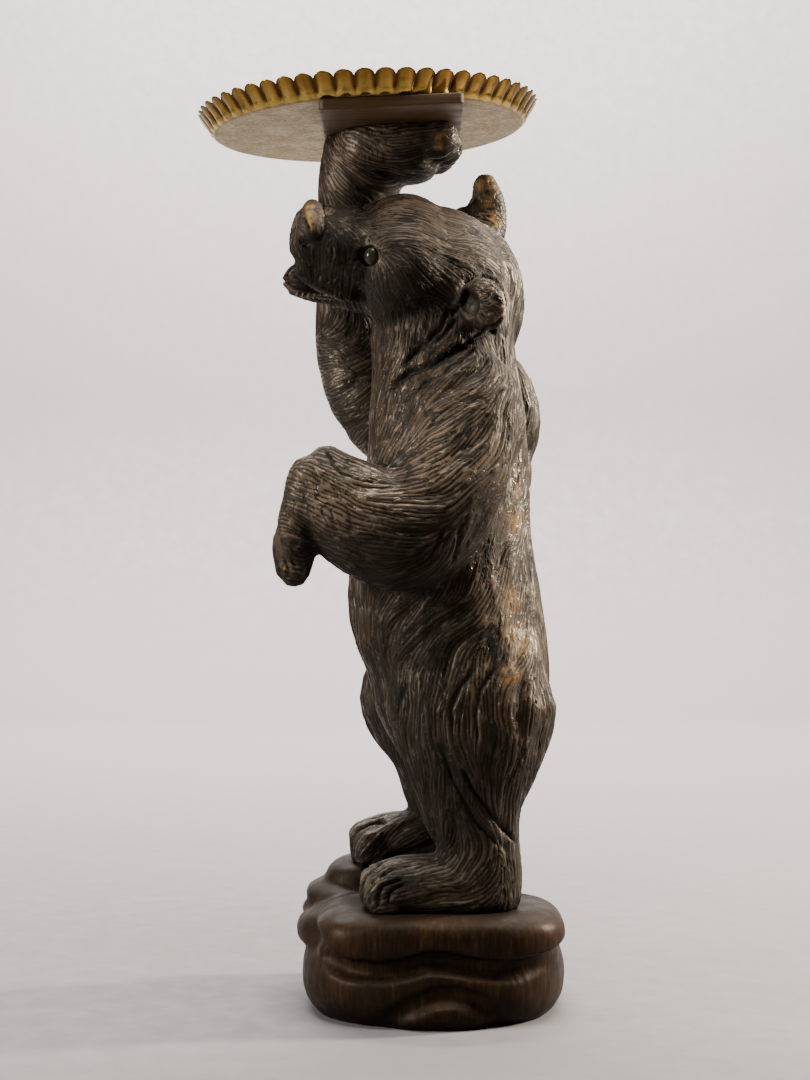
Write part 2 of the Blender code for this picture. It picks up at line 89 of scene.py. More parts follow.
# On the grid: half the depth of the mouth's cutter, middles of the two paws across the figure,
# and the pitch of their fingers and of the toes
MOUTH_GRID = 50
BENT_PAW_Y = -97
BENT_FINGER_PITCH = 12.5
RAISED_PAW_Y = 47
RAISED_FINGER_PITCH = 22.5
TOE_PITCH = 16.5

# Flow of the hair: on the grid, how softly the guides blend, and how far round an eye the hair parts;
# as shares, how much it droops and sways; and the sway's waves to the metre
GUIDE_SOFTNESS = 16
EYE_REACH = 24
EYE_EASING = 10
HAIR_DROOP = 0.06
HAIR_SWAY = 0.55
SWAY_WAVES = (26, 61)

# Deep lines follow the surface in steps of this length
LINE_STEP = 1.6 * MM
# On the grid: the furrows between broad locks, with their lengths as multiples of their spacing
LOCK_SPACING = 27
LOCK_LENGTHS = (2.2, 4.6)
LOCK_HALF_WIDTH = 10.5
LOCK_FADE = 30
# Hair strokes: share of the guides' spacing, and lengths as multiples of it
STROKE_CROWDING = 0.86
STROKE_LENGTHS = (14.0, 36.0)
GOUGE_FADE = 14
# Width of the fine strands as a share of the strokes' spacing, and the rounds that spread their count
STRAND_PITCH = 0.33
STRAND_ROUNDS = 500

# Hair: rows of (x, y, z) on the grid with the way that the strokes run there.
# Each patch has its spacing, its depth and the depth of its broad locks, in millimetres.
SIDE_FLOW = (
    (4.1, 1.2, 2.6, (
        (80, -70, 560, -.45, 0, -.9), (70, -88, 480, -.5, 0, -.87), (60, -94, 400, -.5, 0, -.87),
        (70, -94, 320, -.5, 0, -.87), (78, -96, 240, -.42, 0, -.9), (100, -45, 520, 0, -.3, -.95),
        (108, -35, 400, 0, -.35, -.93), (112, -35, 300, 0, -.35, -.93), (116, -40, 210, 0, -.2, -.97),
        (97, 0, 560, 0, 0, -1), (103, 0, 430, 0, 0, -1), (108, 0, 300, 0, 0, -1), (112, 0, 200, 0, 0, -1),
        (-72, -10, 480, -.2, 0, -.98), (-82, 0, 400, 0, 0, -1), (-88, -10, 300, 0, 0, -1),
        (-72, -40, 270, .1, 0, -1), (-62, -55, 230, .12, 0, -1), (-66, -25, 200, 0, 0, -1),
    )),
    (4.1, 1.25, 2.4, (
        (-27, -100, 218, -.25, 0, -.97), (12, -105, 228, -.35, 0, -.93), (0, -105, 180, .05, 0, -1),
        (50, -105, 185, .0, 0, -1), (95, -80, 180, -.1, 0, -1), (110, -64, 160, -.15, 0, -1),
        (-20, -95, 142, .35, 0, -.94), (22, -100, 142, .42, 0, -.9), (74, -92, 142, -.1, 0, -.98),
        (1, -95, 101, .3, 0, -.95), (53, -95, 92, .5, 0, -.86), (80, -85, 84, .3, 0, -.95),
        (96, -64, 110, -.1, 0, -1), (85, -64, 60, 0, 0, -1), (-8, -62, 110, .1, 0, -1),
        (20, -30, 150, .2, 0, -.98), (40, -25, 90, .2, 0, -.97), (32, -98, 50, -.2, 0, -.97),
        (80, -80, 28, -.1, 0, -1), (56, -98, 24, -.75, 0, -.6), (12, -102, 19, -1, 0, -.04),
        (-22, -100, 14, -1, 0, 0), (-16, -64, 50, -1, 0, -.1), (8, -70, 54, -.9, 0, -.35),
        (12, -28, 22, -1, 0, 0), (-62, -64, 22, -.35, 0, -1),
    )),
)
NEAR_FLOW = (
    (4.0, 1.2, 2.2, (
        (30, -102, 470, -.72, 0, -.68), (-8, -112, 453, -.88, 0, -.42), (-22, -118, 400, -1, 0, -.05),
        (4, -118, 385, -.85, 0, -.5), (-47, -120, 377, -.93, 0, .33), (-76, -122, 394, -.8, 0, .58),
        (-98, -105, 436, -.75, 0, .6), (-60, -100, 420, -.7, 0, .7), (-30, -105, 425, -.9, 0, .2),
        (-125, -105, 404, -.96, 0, .15), (-116, -118, 368, -.9, 0, .4), (-85, -118, 354, -.92, 0, .35),
        (-47, -110, 345, -1, 0, -.08), (-66, -70, 326, -.6, 0, -.8), (-27, -95, 336, -.75, 0, -.65),
        (14, -104, 355, -.5, 0, -.85), (24, -95, 326, -.45, 0, -.9), (-17, -85, 267, -.85, 0, -.5),
        (2, -90, 297, -.82, 0, -.55), (34, -95, 270, -.7, 0, -.7), (-60, -75, 440, -.5, 0, -.6),
    )),
    (3.8, 1.1, 2.6, (
        (-88, -30, 542, -1, 0, -.05), (-98, -10, 565, -.9, .1, .28), (-79, -30, 495, -.93, 0, -.3),
        (-73, -35, 467, -.82, 0, -.55), (-45, -72, 561, -.1, 0, -1), (-41, -76, 533, -.3, 0, -.95),
        (-3, -90, 552, -.65, 0, -.75), (25, -95, 571, -.4, 0, -.9), (-22, -88, 514, -.8, 0, -.6),
        (16, -92, 533, -.75, 0, -.65), (35, -92, 504, -.66, 0, -.75), (-50, -82, 485, -.3, 0, -.95),
        (-22, -95, 475, -.76, 0, -.65), (-32, -100, 457, -.86, 0, -.5), (73, -75, 542, -.35, 0, -.93),
        (63, -62, 600, -.3, 0, -.95), (88, -10, 610, 0, -.1, -1),
    )),
)
FAR_FLOW = (
    (3.9, 1.1, 1.4, (
        (-98, 50, 765, .45, 0, -.88), (-62, 10, 768, .97, 0, -.22), (-27, 5, 768, 1, 0, .1),
        (-51, 15, 739, 1, 0, 0), (-15, 15, 750, .97, 0, .2), (-86, 45, 727, .75, 0, -.65),
        (-80, 45, 705, .78, 0, -.62), (-51, 35, 715, .95, 0, -.3), (-77, 132, 740, .2, 0, -1),
        (-40, 110, 740, .8, 0, -.4), (-77, 95, 640, .5, 0, -.85), (-75, 96, 560, .4, 0, -.9),
        (-40, 92, 500, .6, 0, -.8), (-70, 135, 640, .2, 0, -1), (-70, 135, 540, .2, 0, -1),
        (-115, 93, 600, .1, 0, -1), (-35, 93, 620, .3, 0, -1), (-20, 112, 470, .5, 0, -.8),
        (-112, 80, 562, -.97, 0, .12), (-108, 78, 532, -.98, 0, -.1), (-95, 74, 502, -.95, 0, -.25),
        (-85, 58, 530, -.97, 0, -.12), (-88, 30, 545, -.95, .2, -.1), (-80, 50, 475, -.85, 0, -.5),
        (30, 100, 470, -.3, 0, -.95), (40, 95, 400, -.5, 0, -.87), (-10, 92, 370, -.5, 0, -.87),
        (0, 90, 540, -.3, 0, -.95), (20, 80, 580, -.2, 0, -1), (20, 95, 320, -.5, 0, -.87),
        (-30, 92, 280, -.5, 0, -.87),
    )),
)
# The same on the head, in its own axes: forward, left, up
HEAD_FLOW = (
    (3.2, 1.0, .7, (
        (100, 12, 26, -.5, 1, -.1), (135, 20, 18, -.3, 1, -.4), (118, 38, 2, -.15, .5, -.85),
        (88, 42, -2, -.3, .35, -.9), (120, 34, -24, -.2, .1, -1), (90, 0, 36, -1, 0, .3),
        (70, 14, 46, -1, .1, .2), (60, 35, 46, -1, .15, 0), (20, 0, 60, -1, 0, -.08),
        (10, 38, 54, -1, .1, -.12), (-35, 0, 44, -.85, 0, -.5), (-38, 40, 30, -.8, .1, -.55),
        (52, 60, 20, -.95, .25, -.15), (20, 68, 14, -.95, .1, -.3), (62, 46, -22, -.2, .75, -.62),
        (38, 62, -30, -.2, .6, -.75), (16, 66, -34, -.35, .5, -.8), (96, 42, -46, -.5, .2, -.85),
        (110, 12, -84, -1, .15, -.1), (70, 20, -76, -1, .3, -.2), (40, 46, -60, -.6, .3, -.75),
        (-24, 104, 42, -.35, .9, .3), (-28, 84, 56, -.5, .2, .85), (-22, 92, 10, -.3, .8, -.5),
    )),
)

# Deep gouges that the carver left: (x, z) on the grid seen from the bear's left, half width, depth
NEAR_GOUGES = (
    (5.5, 5.2, ((57, 563), (33, 546), (2, 527), (-20, 518), (-43, 501))),
    (4.2, 3.6, ((19, 582), (8, 559), (-16, 537), (-30, 521))),
    (3.6, 3.2, ((26, 572), (10, 552), (-4, 545))),
    (4.0, 3.2, ((45, 548), (26, 528), (-6, 508), (-30, 488))),
    (3.6, 3.0, ((29, 373), (26, 352), (20, 330))),
    (3.6, 3.0, ((13, 373), (8, 356), (-2, 341))),
    (3.8, 2.8, ((43, 236), (27, 216), (19, 197), (20, 170))),
    (3.2, 2.4, ((-22, 224), (-31, 202), (-34, 176))),
    (3.4, 2.6, ((62, 236), (47, 214), (42, 188), (46, 160))),
    (3.6, 3.4, ((30, 140), (40, 118), (60, 92), (84, 66))),
    (3.0, 2.4, ((8, 166), (20, 128), (42, 88), (68, 62))),
    (3.2, 2.6, ((-102, 446), (-92, 430), (-80, 414))),
    (2.8, 2.4, ((-149, 342), (-143, 324))),
    (2.8, 2.4, ((-142, 344), (-135, 321))),
    (2.6, 2.0, ((-135, 344), (-128, 324))),
    (2.6, 3.4, ((-53.7, 53.4), (-66, 40), (-70, 32), (-70.5, 14.5))),
    (3.0, 4.2, ((-43, 52), (-63, 36), (-67, 25), (-65.8, 5))),
    (3.2, 4.6, ((-33.6, 45.7), (-56.3, 30.6), (-61, 20), (-58.3, 3))),
    (3.2, 4.6, ((-24, 36), (-47, 26.5), (-51, 17), (-51, 2))),
    (2.8, 3.4, ((-20, 30.6), (-33.6, 25), (-40.3, 18.5), (-42, 3))),
    (2.2, 3.8, ((-110.2, 685.6), (-103.5, 678.9), (-100.2, 668.3), (-100.7, 656.8), (-105.5, 646.3),
                (-113.1, 645.3))),
    (1.7, 3.0, ((-107.4, 659.7), (-105, 654), (-106.4, 647.3))),
    (2.2, 4.6, ((-122.5, 668), (-120.2, 662.7), (-117.5, 656), (-114.1, 649.3))),
    (2.2, 2.4, ((33.4, 603.2), (41.1, 609.4), (51.6, 611.3), (62.2, 606.1), (69.8, 596.5), (72.7, 585),
                (71.7, 573.5))),
    (2.8, 3.4, ((70.8, 574.5), (63.1, 564.9), (52.6, 559.1), (41.1, 555.8), (35.3, 559.1))),
    (3.0, 3.0, ((30, 545), (48.8, 551.5), (62, 561))),
    (1.5, 1.3, ((40.1, 596.5), (44.9, 606.1))),
    (1.5, 1.3, ((43, 595.5), (52.6, 606.1))),
    (1.5, 1.3, ((44, 592.7), (60.2, 601.3))),
    (1.5, 1.3, ((44.9, 588.8), (66, 592.7))),
    (1.5, 1.3, ((44.9, 585), (67.9, 583.1))),
    (1.5, 1.3, ((44, 581.2), (65, 573.5))),
    (1.5, 1.3, ((42, 578.3), (56.4, 565.8))),
    (1.5, 1.3, ((38.2, 576.4), (45.9, 561.1))),
    (3.6, 4.0, ((33.4, 603.2), (30.6, 591.7), (24.8, 580.2), (16.2, 568.7))),
    (3.4, 2.4, ((-20, 432), (-44, 428), (-58, 436))),
)
# The gouges' points are given on a plane through the near side, behind which they meet the surface
NEAR_SIDE = -95.0
# Marks on the near side, seen from the camera, for worn places with painted glints, painted shade and
# painted glints: x, z and radius on the grid
# Worn gold, partly painted glints: the nose pad, the hanging paw's tip, a claw of the raised paw and the
# ear
POLISHED_AND_GLINTS = (
    (-117.5, 677, 6), (-117, 671, 6), (-115.5, 665, 6), (-114, 658, 5), (-140.4, 331.2, 2),
    (9, 744, 6), (7, 734, 5), (61, 668, 8), (64, 660, 6), (54, 680, 6),
)
# Painted shade in the hollow of the hanging paw, by the nostril and between the toes
SHADED = (
    (-118.5, 361, 11), (-119.5, 347, 12), (-126.5, 332, 9), (-106, 656, 6), (-119.5, 662, 3),
    (-117, 657, 3), (-114, 651, 3), (-53, 18, 8), (-60, 14, 6),
)
# Painted glints along the right of the back, laid on as lighter worn gold
PAINTED_GLINTS = ((84, 262, 22), (78, 300, 18), (76, 230, 16), (82, 377, 16), (84, 405, 12))
# Broad painted light and shade over the figure, partly darker stain, from -1 dark to 1 light: x, z, radius
# on the grid, and tone
PAINTED_LIGHT_AND_SHADE = (
    (-8, 652, 60, -0.45), (-70, 655, 40, -0.4), (-97, 631, 40, -1.0), (-112, 608, 32, -1.0),
    (-45, 600, 52, -1.0), (-80, 560, 30, -0.7), (8, 580, 40, -0.5), (-30, 640, 26, -0.3),
    (-30, 348, 34, -0.9), (8, 342, 30, -0.6), (-15, 262, 62, -0.95),
    (-10, 208, 52, -0.8), (60, 140, 48, -0.8), (0, 138, 66, -1.0), (14, 78, 60, -0.9),
    (-30, 22, 50, -0.4), (60, 300, 44, 0.6), (62, 245, 40, 0.5), (80, 377, 30, 0.9), (88, 262, 28, 1.0),
    (74, 430, 34, 0.6), (23, 444, 60, 0.8), (-30, 450, 60, 0.4), (-88, 405, 60, 1.0), (-20, 400, 60, 0.4),
    (-86, 741, 18, 1.0), (-88, 717, 16, 1.0), (-91, 698, 16, 1.0), (-50, 728, 60, 0.5), (60, 676, 30, 1.0),
    (54, 584, 30, 1.4), (-54, 629, 17, 1.6), (-100, 520, 46, 0.4),
)
# Fresh wood in the chip at the near ear's edge: x, z on the grid
CHIP_RADIUS = 3.2
EAR_CHIP = ((68.4, 593.6), (69.8, 589.8), (70.3, 586.0), (71.3, 578.3), (71.0, 582.0), (69.8, 573.5))

# Middle of the recess under the rock's ledges and of the arch in front, across the front of the rock:
# x as a share of its half length, and height as a share of the near seat's
RECESS_LINE = (
    (-1.0, 0.74), (-0.8, 0.72), (-0.76, 0.62), (-0.62, 0.52), (-0.37, 0.5), (-0.2, 0.54), (-0.03, 0.61),
    (0.14, 0.6), (0.3, 0.55), (0.51, 0.52), (0.76, 0.57), (0.9, 0.65), (1.0, 0.67),
)
RECESS_BEHIND = 0.88
ARCH_LINE = (
    (-0.32, 0.07), (-0.16, 0.19), (0.01, 0.29), (0.16, 0.31), (0.3, 0.26), (0.43, 0.17), (0.51, 0.07),
)
FOLD_SAMPLES = 300

# The rock's ledges: how thick they are, and how far they stand over or under the foot's seat
LEDGE_THICKNESS = 0.066
FAR_LEDGE_THICKNESS = 0.06
LEDGE_CROWN = 0.006
SHOULDER_THICKNESS = 0.05
SHOULDER_DROP = 0.006
FAR_LIP_THICKNESS = 0.055
FAR_LIP_RISE = 0.01

BOARD_LENGTH = 0.26
BOARD_WIDTH = 0.141
BOARD_THICKNESS = 0.0105
BOARD_CORNER_RADIUS = 0.006
BOARD_EASING = 0.0014

# The tray's middle against the palm's, and the pressed forms of its sheet
TRAY_OFFSET_FORWARD = 0.0245
TRAY_OFFSET_SIDE = 0.03
CREASE_DEPTH = 0.0042
CREASE_DROP = 0.0055
FOOT_BEAD = 0.0014
CHASING_DEPTH = 0.0004
LIP_EASING = 0.0003
FOOT_EASING = 0.0006

# The wax on the stained wood warms what it reflects
WOOD_SHEEN = (1.0, 0.84, 0.62)
# How far the tone may change along one strand, in waves to the metre
STRAND_VARIETY = (20.0, 20.0, 20.0)

# Tones that no setting changes
# Near black of the painted shade in the hollows
PAINTED_SHADE_BLACK = (0.002, 0.0016, 0.0014)
BEAD_BROWN = (0.022, 0.019, 0.013)
TOOTH_BROWN = (0.08, 0.06, 0.038)
ROCK_GRAIN_TONE = (0.11, 0.052, 0.02)
ROCK_WARMTH = (2.3, 1.8, 1.4)
BOARD_DARK = (0.022, 0.011, 0.005)
BOARD_FIBRE = (0.11, 0.062, 0.026)
BRASS_SHOULDER = (0.25, 0.13, 0.028)
BRASS_STAIN = (0.17, 0.085, 0.02)
BRASS_PATCH = (0.25, 0.18, 0.085)
BRASS_SPECK = (0.43, 0.34, 0.19)
BRASS_RING = (0.2, 0.145, 0.07)
FLOOR_TONE = (0.25, 0.228, 0.22)

CAMERA_PLACE = (-0.025, -1.934, 0.463)
CAMERA_LENS = 64.0
SENSOR_HEIGHT = 36.0
# Soft lights: name, place, target, size, power in watts and tone
LIGHTS = (
    ("top_softbox", (0.15, -0.45, 2.6), (0, 0, 0.5), (1.2, 0.9), 80, (1, 1, 1)),
    ("right_softbox", (1.9, 0.32, 1.25), (0, 0, 0.5), (0.14, 0.7), 140, (1.0, 0.93, 0.82)),
    ("left_softbox", (-1.9, -0.7, 0.85), (0, 0, 0.6), (0.4, 0.8), 48, (1, 1, 1)),
    ("backdrop_light", (0, 1.8, 3.2), (0, 4.0, 0.8), (4.0, 0.8), 900, (1, 1, 1)),
)
AIR_TONE = (0.96, 0.97, 1.0, 1)
AIR_STRENGTH = 0.05


class CarvedBearSizes(bpy.types.PropertyGroup):
    """Sizes of the carving, the board and the tray."""

    figure_height: FloatProperty(
        name="Figure height", description="From the left sole to the palm that carries the board",
        default=0.777, min=0.2, max=2.0, unit="LENGTH")
    mass_grain: FloatProperty(
        name="Mass grain", description="Fineness of the first rough carving",
        default=0.003, min=0.002, max=0.006, unit="LENGTH")
    fine_grain: FloatProperty(
        name="Fine grain", description="Fineness of the surface that takes the hair strokes",
        default=0.0012, min=0.0009, max=0.003, unit="LENGTH")
    stroke_share: FloatProperty(
        name="Stroke depth", description="Depth of all hair strokes as a share of the usual depth",
        default=1.25, min=0.0, max=2.0, subtype="FACTOR")
    lock_share: FloatProperty(
        name="Lock depth", description="Depth of the broad locks as a share of the usual depth",
        default=1.0, min=0.0, max=2.0, subtype="FACTOR")
    rock_grain: FloatProperty(
        name="Rock grain", description="Fineness of the carved rock",
        default=0.0022, min=0.0015, max=0.006, unit="LENGTH")
    tray_diameter: FloatProperty(
        name="Tray diameter", description="Across the tips of the tray's scallops",
        default=0.356, min=0.1, max=0.6, unit="LENGTH")
    tray_flare: FloatProperty(
        name="Tray flare", description="How far the rim leans out from the floor",
        default=0.017, min=0.002, max=0.05, unit="LENGTH")
    rim_height: FloatProperty(
        name="Rim height", description="Height of the scallop tips over the tray's underside",
        default=0.0235, min=0.005, max=0.06, unit="LENGTH")
    sheet: FloatProperty(
        name="Tray sheet", description="Thickness of the brass",
        default=0.0015, min=0.0006, max=0.004, unit="LENGTH")
    scallops: IntProperty(
        name="Scallops", description="Lobes around the tray's rim", default=54, min=12, max=120)


class CarvedBearFinish(bpy.types.PropertyGroup):
    """Colours of the stains, the worn places, the painted light and shade, and the brass."""

    # Also the painted shade on faces that look down, on the figure and under the rock's ledges
    stain_and_underside_shade: FloatVectorProperty(
        name="Groove stain", description="Stain that stayed at the bottom of the strokes",
        default=(0.0024, 0.0016, 0.0012), subtype="COLOR", min=0.0, max=1.0)
    ridge_brown: FloatVectorProperty(
        name="Ridge brown", description="Brown wood on the crests of the hair",
        default=(0.068, 0.043, 0.027), subtype="COLOR", min=0.0, max=1.0)
    ridge_red: FloatVectorProperty(
        name="Ridge red", description="Redder wood where the stain wore thin",
        default=(0.088, 0.043, 0.017), subtype="COLOR", min=0.0, max=1.0)
    dust: FloatVectorProperty(
        name="Dust", description="Greyish bloom on faces that look up",
        default=(0.1, 0.069, 0.044), subtype="COLOR", min=0.0, max=1.0)
    # Painted light: the lighter brown laid on where the tone map is light
    rubbed_and_lit: FloatVectorProperty(
        name="Rubbed crests", description="Lighter brown of the hair that is touched most",
        default=(0.2, 0.138, 0.088), subtype="COLOR", min=0.0, max=1.0)
    # Darker stain and painted shade where the tone map is dark; on the rock, faces that look up are
    # darkened toward it
    dark_stain_and_shade: FloatVectorProperty(
        name="Dark stain", description="Deep brown of the muzzle, the belly and the legs",
        default=(0.0075, 0.0044, 0.0026), subtype="COLOR", min=0.0, max=1.0)
    # Worn gold that also stands for painted glints on the nose, the paws, an ear and the back
    worn_gold_and_glint: FloatVectorProperty(
        name="Worn gold", description="Places rubbed down to the bright wood",
        default=(0.36, 0.19, 0.06), subtype="COLOR", min=0.0, max=1.0)
    bare_wood: FloatVectorProperty(
        name="Bare wood", description="Fresh wood in the chip at the ear",
        default=(0.72, 0.52, 0.29), subtype="COLOR", min=0.0, max=1.0)
    rock_brown: FloatVectorProperty(
        name="Rock brown", description="Stained wood of the smooth base",
        default=(0.014, 0.0072, 0.0032), subtype="COLOR", min=0.0, max=1.0)
    board_brown: FloatVectorProperty(
        name="Board brown", description="Stained wood of the board under the tray",
        default=(0.078, 0.04, 0.011), subtype="COLOR", min=0.0, max=1.0)
    brass_bright: FloatVectorProperty(
        name="Bright brass", description="Rubbed brass on the scallops",
        default=(0.43, 0.28, 0.07), subtype="COLOR", min=0.0, max=1.0)
    brass_brown: FloatVectorProperty(
        name="Browned brass", description="Tarnish in the folds of the rim",
        default=(0.07, 0.034, 0.009), subtype="COLOR", min=0.0, max=1.0)
    brass_dull: FloatVectorProperty(
        name="Dull brass", description="Greyed brass on the flat floor",
        default=(0.2, 0.145, 0.052), subtype="COLOR", min=0.0, max=1.0)


def settings():
    """The sizes and the finish that are set in the panel."""
    scene = bpy.context.scene
    return scene.carved_bear_sizes, scene.carved_bear_finish


def unit():
    """Metres in one unit of the carver's grid."""
    return settings()[0].figure_height / GRID_HEIGHT


def grid_point(x, y, z):
    """Place of a point of the carver's grid in the model."""
    return Vector((x * unit(), y * unit(), NEAR_SEAT + z * unit()))


def body_frame():
    """Matrix from the carver's grid to the model."""
    return Matrix.Translation(grid_point(0, 0, 0)) @ Matrix.Scale(unit(), 4)


def head_frame():
    """Matrix from the head's own axes (forward, left, up) to the model."""
    left = Vector((0, -math.cos(HEAD_ROLL), -math.sin(HEAD_ROLL)))
    crown = Vector((0, -math.sin(HEAD_ROLL), math.cos(HEAD_ROLL)))
    forward = crown * math.sin(HEAD_PITCH) - Vector((math.cos(HEAD_PITCH), 0, 0))
    turn = Matrix((forward, left, forward.cross(left))).transposed().to_4x4()
    turn = Matrix.Rotation(HEAD_YAW, 4, "Z") @ turn
    return Matrix.Translation(grid_point(*HEAD_CENTRE)) @ turn @ Matrix.Scale(unit(), 4)


def palm_frame():
    """Matrix of the tilted plane on which the board lies."""
    return Matrix.Translation(grid_point(*PALM_GRID)) @ Matrix.Rotation(-PALM_TILT, 4, "Y")


def place_in_scene(name, data):
    """New object that shows a mesh, a light or a camera."""
    item = bpy.data.objects.new(name, data)
    bpy.context.scene.collection.objects.link(item)
    return item


def add_object(name, bm, material=None):
    """New object from a bmesh, which is used up."""
    mesh = bpy.data.meshes.new(name)
    bm.to_mesh(mesh)
    bm.free()
    if material:
        mesh.materials.append(material)
    return place_in_scene(name, mesh)


def finish_piece(item, node):
    """Let a piece stand for a node of the frame."""
    item.data.shade_smooth()
    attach(item, BODY)
    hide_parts(node)


def remove(item):
    """Take an object out of the file."""
    bpy.data.objects.remove(item, do_unlink=True)


def keep_result(item):
    """Keep the evaluated mesh and drop the modifiers."""
    graph = bpy.context.evaluated_depsgraph_get()
    mesh = bpy.data.meshes.new_from_object(item.evaluated_get(graph))
    item.modifiers.clear()
    item.data = mesh


def melt_together(item, voxel, smoothing):
    """Fuse the overlapping masses of an object and soften them."""
    fuse = item.modifiers.new("fuse", "REMESH")
    fuse.mode = "VOXEL"
    fuse.voxel_size = voxel
    if smoothing:
        soften = item.modifiers.new("soften", "SMOOTH")
        soften.factor = 0.5
        soften.iterations = smoothing
    keep_result(item)


def thin(item, triangles):
    """Thin a dense mesh down to a number of triangles, keeping its relief."""
    present = sum(len(face.vertices) - 2 for face in item.data.polygons)
    if present > triangles:
        fewer = item.modifiers.new("thin", "DECIMATE")
        fewer.ratio = triangles / present
        keep_result(item)


def signed_power(value, power):
    """Power of a number's size, with its sign kept."""
    return math.copysign(abs(value) ** power, value)


def ring(bm, centre, front, side, half_front, half_side, squareness):
    """Closed loop of vertices on a rounded section across a limb."""
    loop = bmesh.ops.create_circle(bm, segments=RING_SIDES, radius=1.0)["verts"]
    for vert in loop:
        x, y = vert.co.x, vert.co.y
        x = signed_power(x, squareness) * half_front
        y = signed_power(y, squareness) * half_side
        vert.co = centre + front * x + side * y
    return loop


def loop_edges(loop):
    """Edges between the vertices of a closed loop."""
    members = set(loop)
    edges = dict.fromkeys(edge for vert in loop for edge in vert.link_edges)
    return [edge for edge in edges if members.issuperset(edge.verts)]


def eased(stations):
    """The sections with two more between each pair, on a smooth curve through all of them."""
    last = len(stations) - 1
    result = []
    for index in range(last):
        corners = [stations[min(max(index + step, 0), last)] for step in (-1, 0, 1, 2)]
        for t in (0, 1 / 3, 2 / 3):
            result.append([
                b + 0.5 * t * (c - a + t * (2 * a - 5 * b + 4 * c - d + t * (3 * (b - c) + d - a)))
                for a, b, c, d in zip(*corners)
            ])
    return result + [stations[-1]]


def limb(bm, place, stations, side=(0, 1, 0), squareness=1.0):
    """Skin through rounded sections (x, y, z, half depth, half width), with domed ends."""
    side = Vector(side)
    stations = eased(stations)
    centres = [Vector(station[:3]) for station in stations]
    last = len(stations) - 1
    rings = []
    for index, station in enumerate(stations):
        before = centres[max(index - 1, 0)]
        after = centres[min(index + 1, last)]
        along = (after - before).normalized()
        across = (side - along * side.dot(along)).normalized()
        front = across.cross(along)
        half_front, half_side = station[3], station[4]
        shares = [0.0]
        if index == 0:
            shares = [-0.8, -0.5, 0.0]
        elif index == last:
            shares = [0.0, 0.5, 0.8]
        for share in shares:
            shrink = math.sqrt(1 - share * share)
            centre = centres[index] + along * share * min(half_front, half_side)
            rings.append(
                ring(bm, centre, front, across, half_front * shrink, half_side * shrink, squareness)
            )
    for lower, upper in zip(rings, rings[1:]):
        bmesh.ops.bridge_loops(bm, edges=loop_edges(lower) + loop_edges(upper))
    for end in (rings[0], rings[-1]):
        bmesh.ops.contextual_create(bm, geom=loop_edges(end))
    verts = [vert for loop in rings for vert in loop]
    bmesh.ops.transform(bm, matrix=place, verts=verts)


def blob(bm, place, centre, radii, lean=0.0, turn=0.0, squareness=1.0, sides=RING_SIDES):
    """Rounded mass, leant about the side axis and turned about the upright one."""
    verts = bmesh.ops.create_uvsphere(
        bm, u_segments=sides, v_segments=sides // 2, radius=1.0)["verts"]
    for vert in verts:
        for axis in range(3):
            vert.co[axis] = signed_power(vert.co[axis], squareness)
    spin = Matrix.Rotation(turn, 4, "Z") @ Matrix.Rotation(lean, 4, "Y")
    spot = place @ Matrix.Translation(centre) @ spin @ Matrix.Diagonal((*radii, 1))
    bmesh.ops.transform(bm, matrix=spot, verts=verts)


def carve_torso(bm, place):
    """Belly, back, chest and neck, from the hips up."""
    limb(bm, place, (
        (40, 3, 130, 60, 66), (36, 2, 160, 74, 84), (33, 2, 195, 88, 93), (27, 2, 245, 93, 97),
        (15, 2, 293, 98, 96), (13, 2, 345, 93, 93), (17, 2, 395, 85, 90), (18, 2, 445, 82, 90),
        (17, 2, 485, 79, 88), (15, 0, 525, 74, 80), (13, -4, 565, 72, 70), (16, -8, 600, 68, 62),
    ))
    blob(bm, place, (34, 9, 600), (63, 48, 84))
    blob(bm, place, (42, 58, 480), (75, 47, 88))
    blob(bm, place, (44, 48, 428), (63, 46, 62))
    blob(bm, place, (34, -62, 475), (60, 44, 72))


def carve_leg(bm, place, side, forward, sole, knee=0.0):
    """Thigh, shank and flat foot; side is -1 for the bear's left, and knee swells the thigh's front."""
    y = side * 64
    swell = knee / 2
    limb(bm, place, (
        (46 - forward, side * 50, 250, 66, 40),
        (40 - forward - swell, side * 56, 205, 83 + swell, 46),
        (41 - forward - swell, side * 58, 176, 81 + swell, 47),
        (40 - forward, side * 60, 136, 67, 45), (40 - forward, side * 61, 98, 52, 41),
        (46 - forward, side * 62, 62, 42, 37),
        (45 - forward, y, 38, 45, 36), (42 - forward, y, 14, 47, 37),
    ))
    limb(bm, place, (
        (50 - forward, y, sole + 18, 30, 37), (18 - forward, y, sole + 20, 32, 39),
        (-22 - forward, y - side * 2, sole + 20, 31, 40),
        (-46 - forward, y - side * 3, sole + 18, 27, 38),
    ), squareness=0.85)
    for toe in range(5):
        spread = (toe - 2) * TOE_PITCH
        reach = 50 - abs(toe - 2) * 3.5
        blob(bm, place, (-reach - forward, y - side * 3 + spread, sole + 15), (21, 10, 23))


def carve_raised_arm(bm, place):
    """Right arm from the shoulder up to the paw that carries the board."""
    limb(bm, place, (
        (30, 60, 452, 50, 38), (-6, 74, 462, 50, 40), (-38, 84, 484, 48, 40), (-62, 90, 514, 46, 40),
        (-74, 93, 556, 45, 40), (-77, 93, 605, 43, 39), (-76, 88, 655, 42, 38), (-74, 78, 700, 43, 38),
        (-72, 68, 732, 44, 42), (-64, 58, 755, 48, 48),
    ))
    limb(bm, place, (
        (-67, 54, 760, 28, 54), (-36, 50, 761, 27, 59), (-4, 48, 764, 22, 58),
    ), squareness=0.6)
    blob(bm, place, (-22, 46, 742), (32, 42, 17))
    for finger in range(5):
        spread = (finger - 2) * RAISED_FINGER_PITCH
        reach = 13 - abs(finger - 2) * 3
        blob(bm, place, (reach, RAISED_PAW_Y + spread, 762), (24, 13, 20), lean=-FINGER_LEAN)


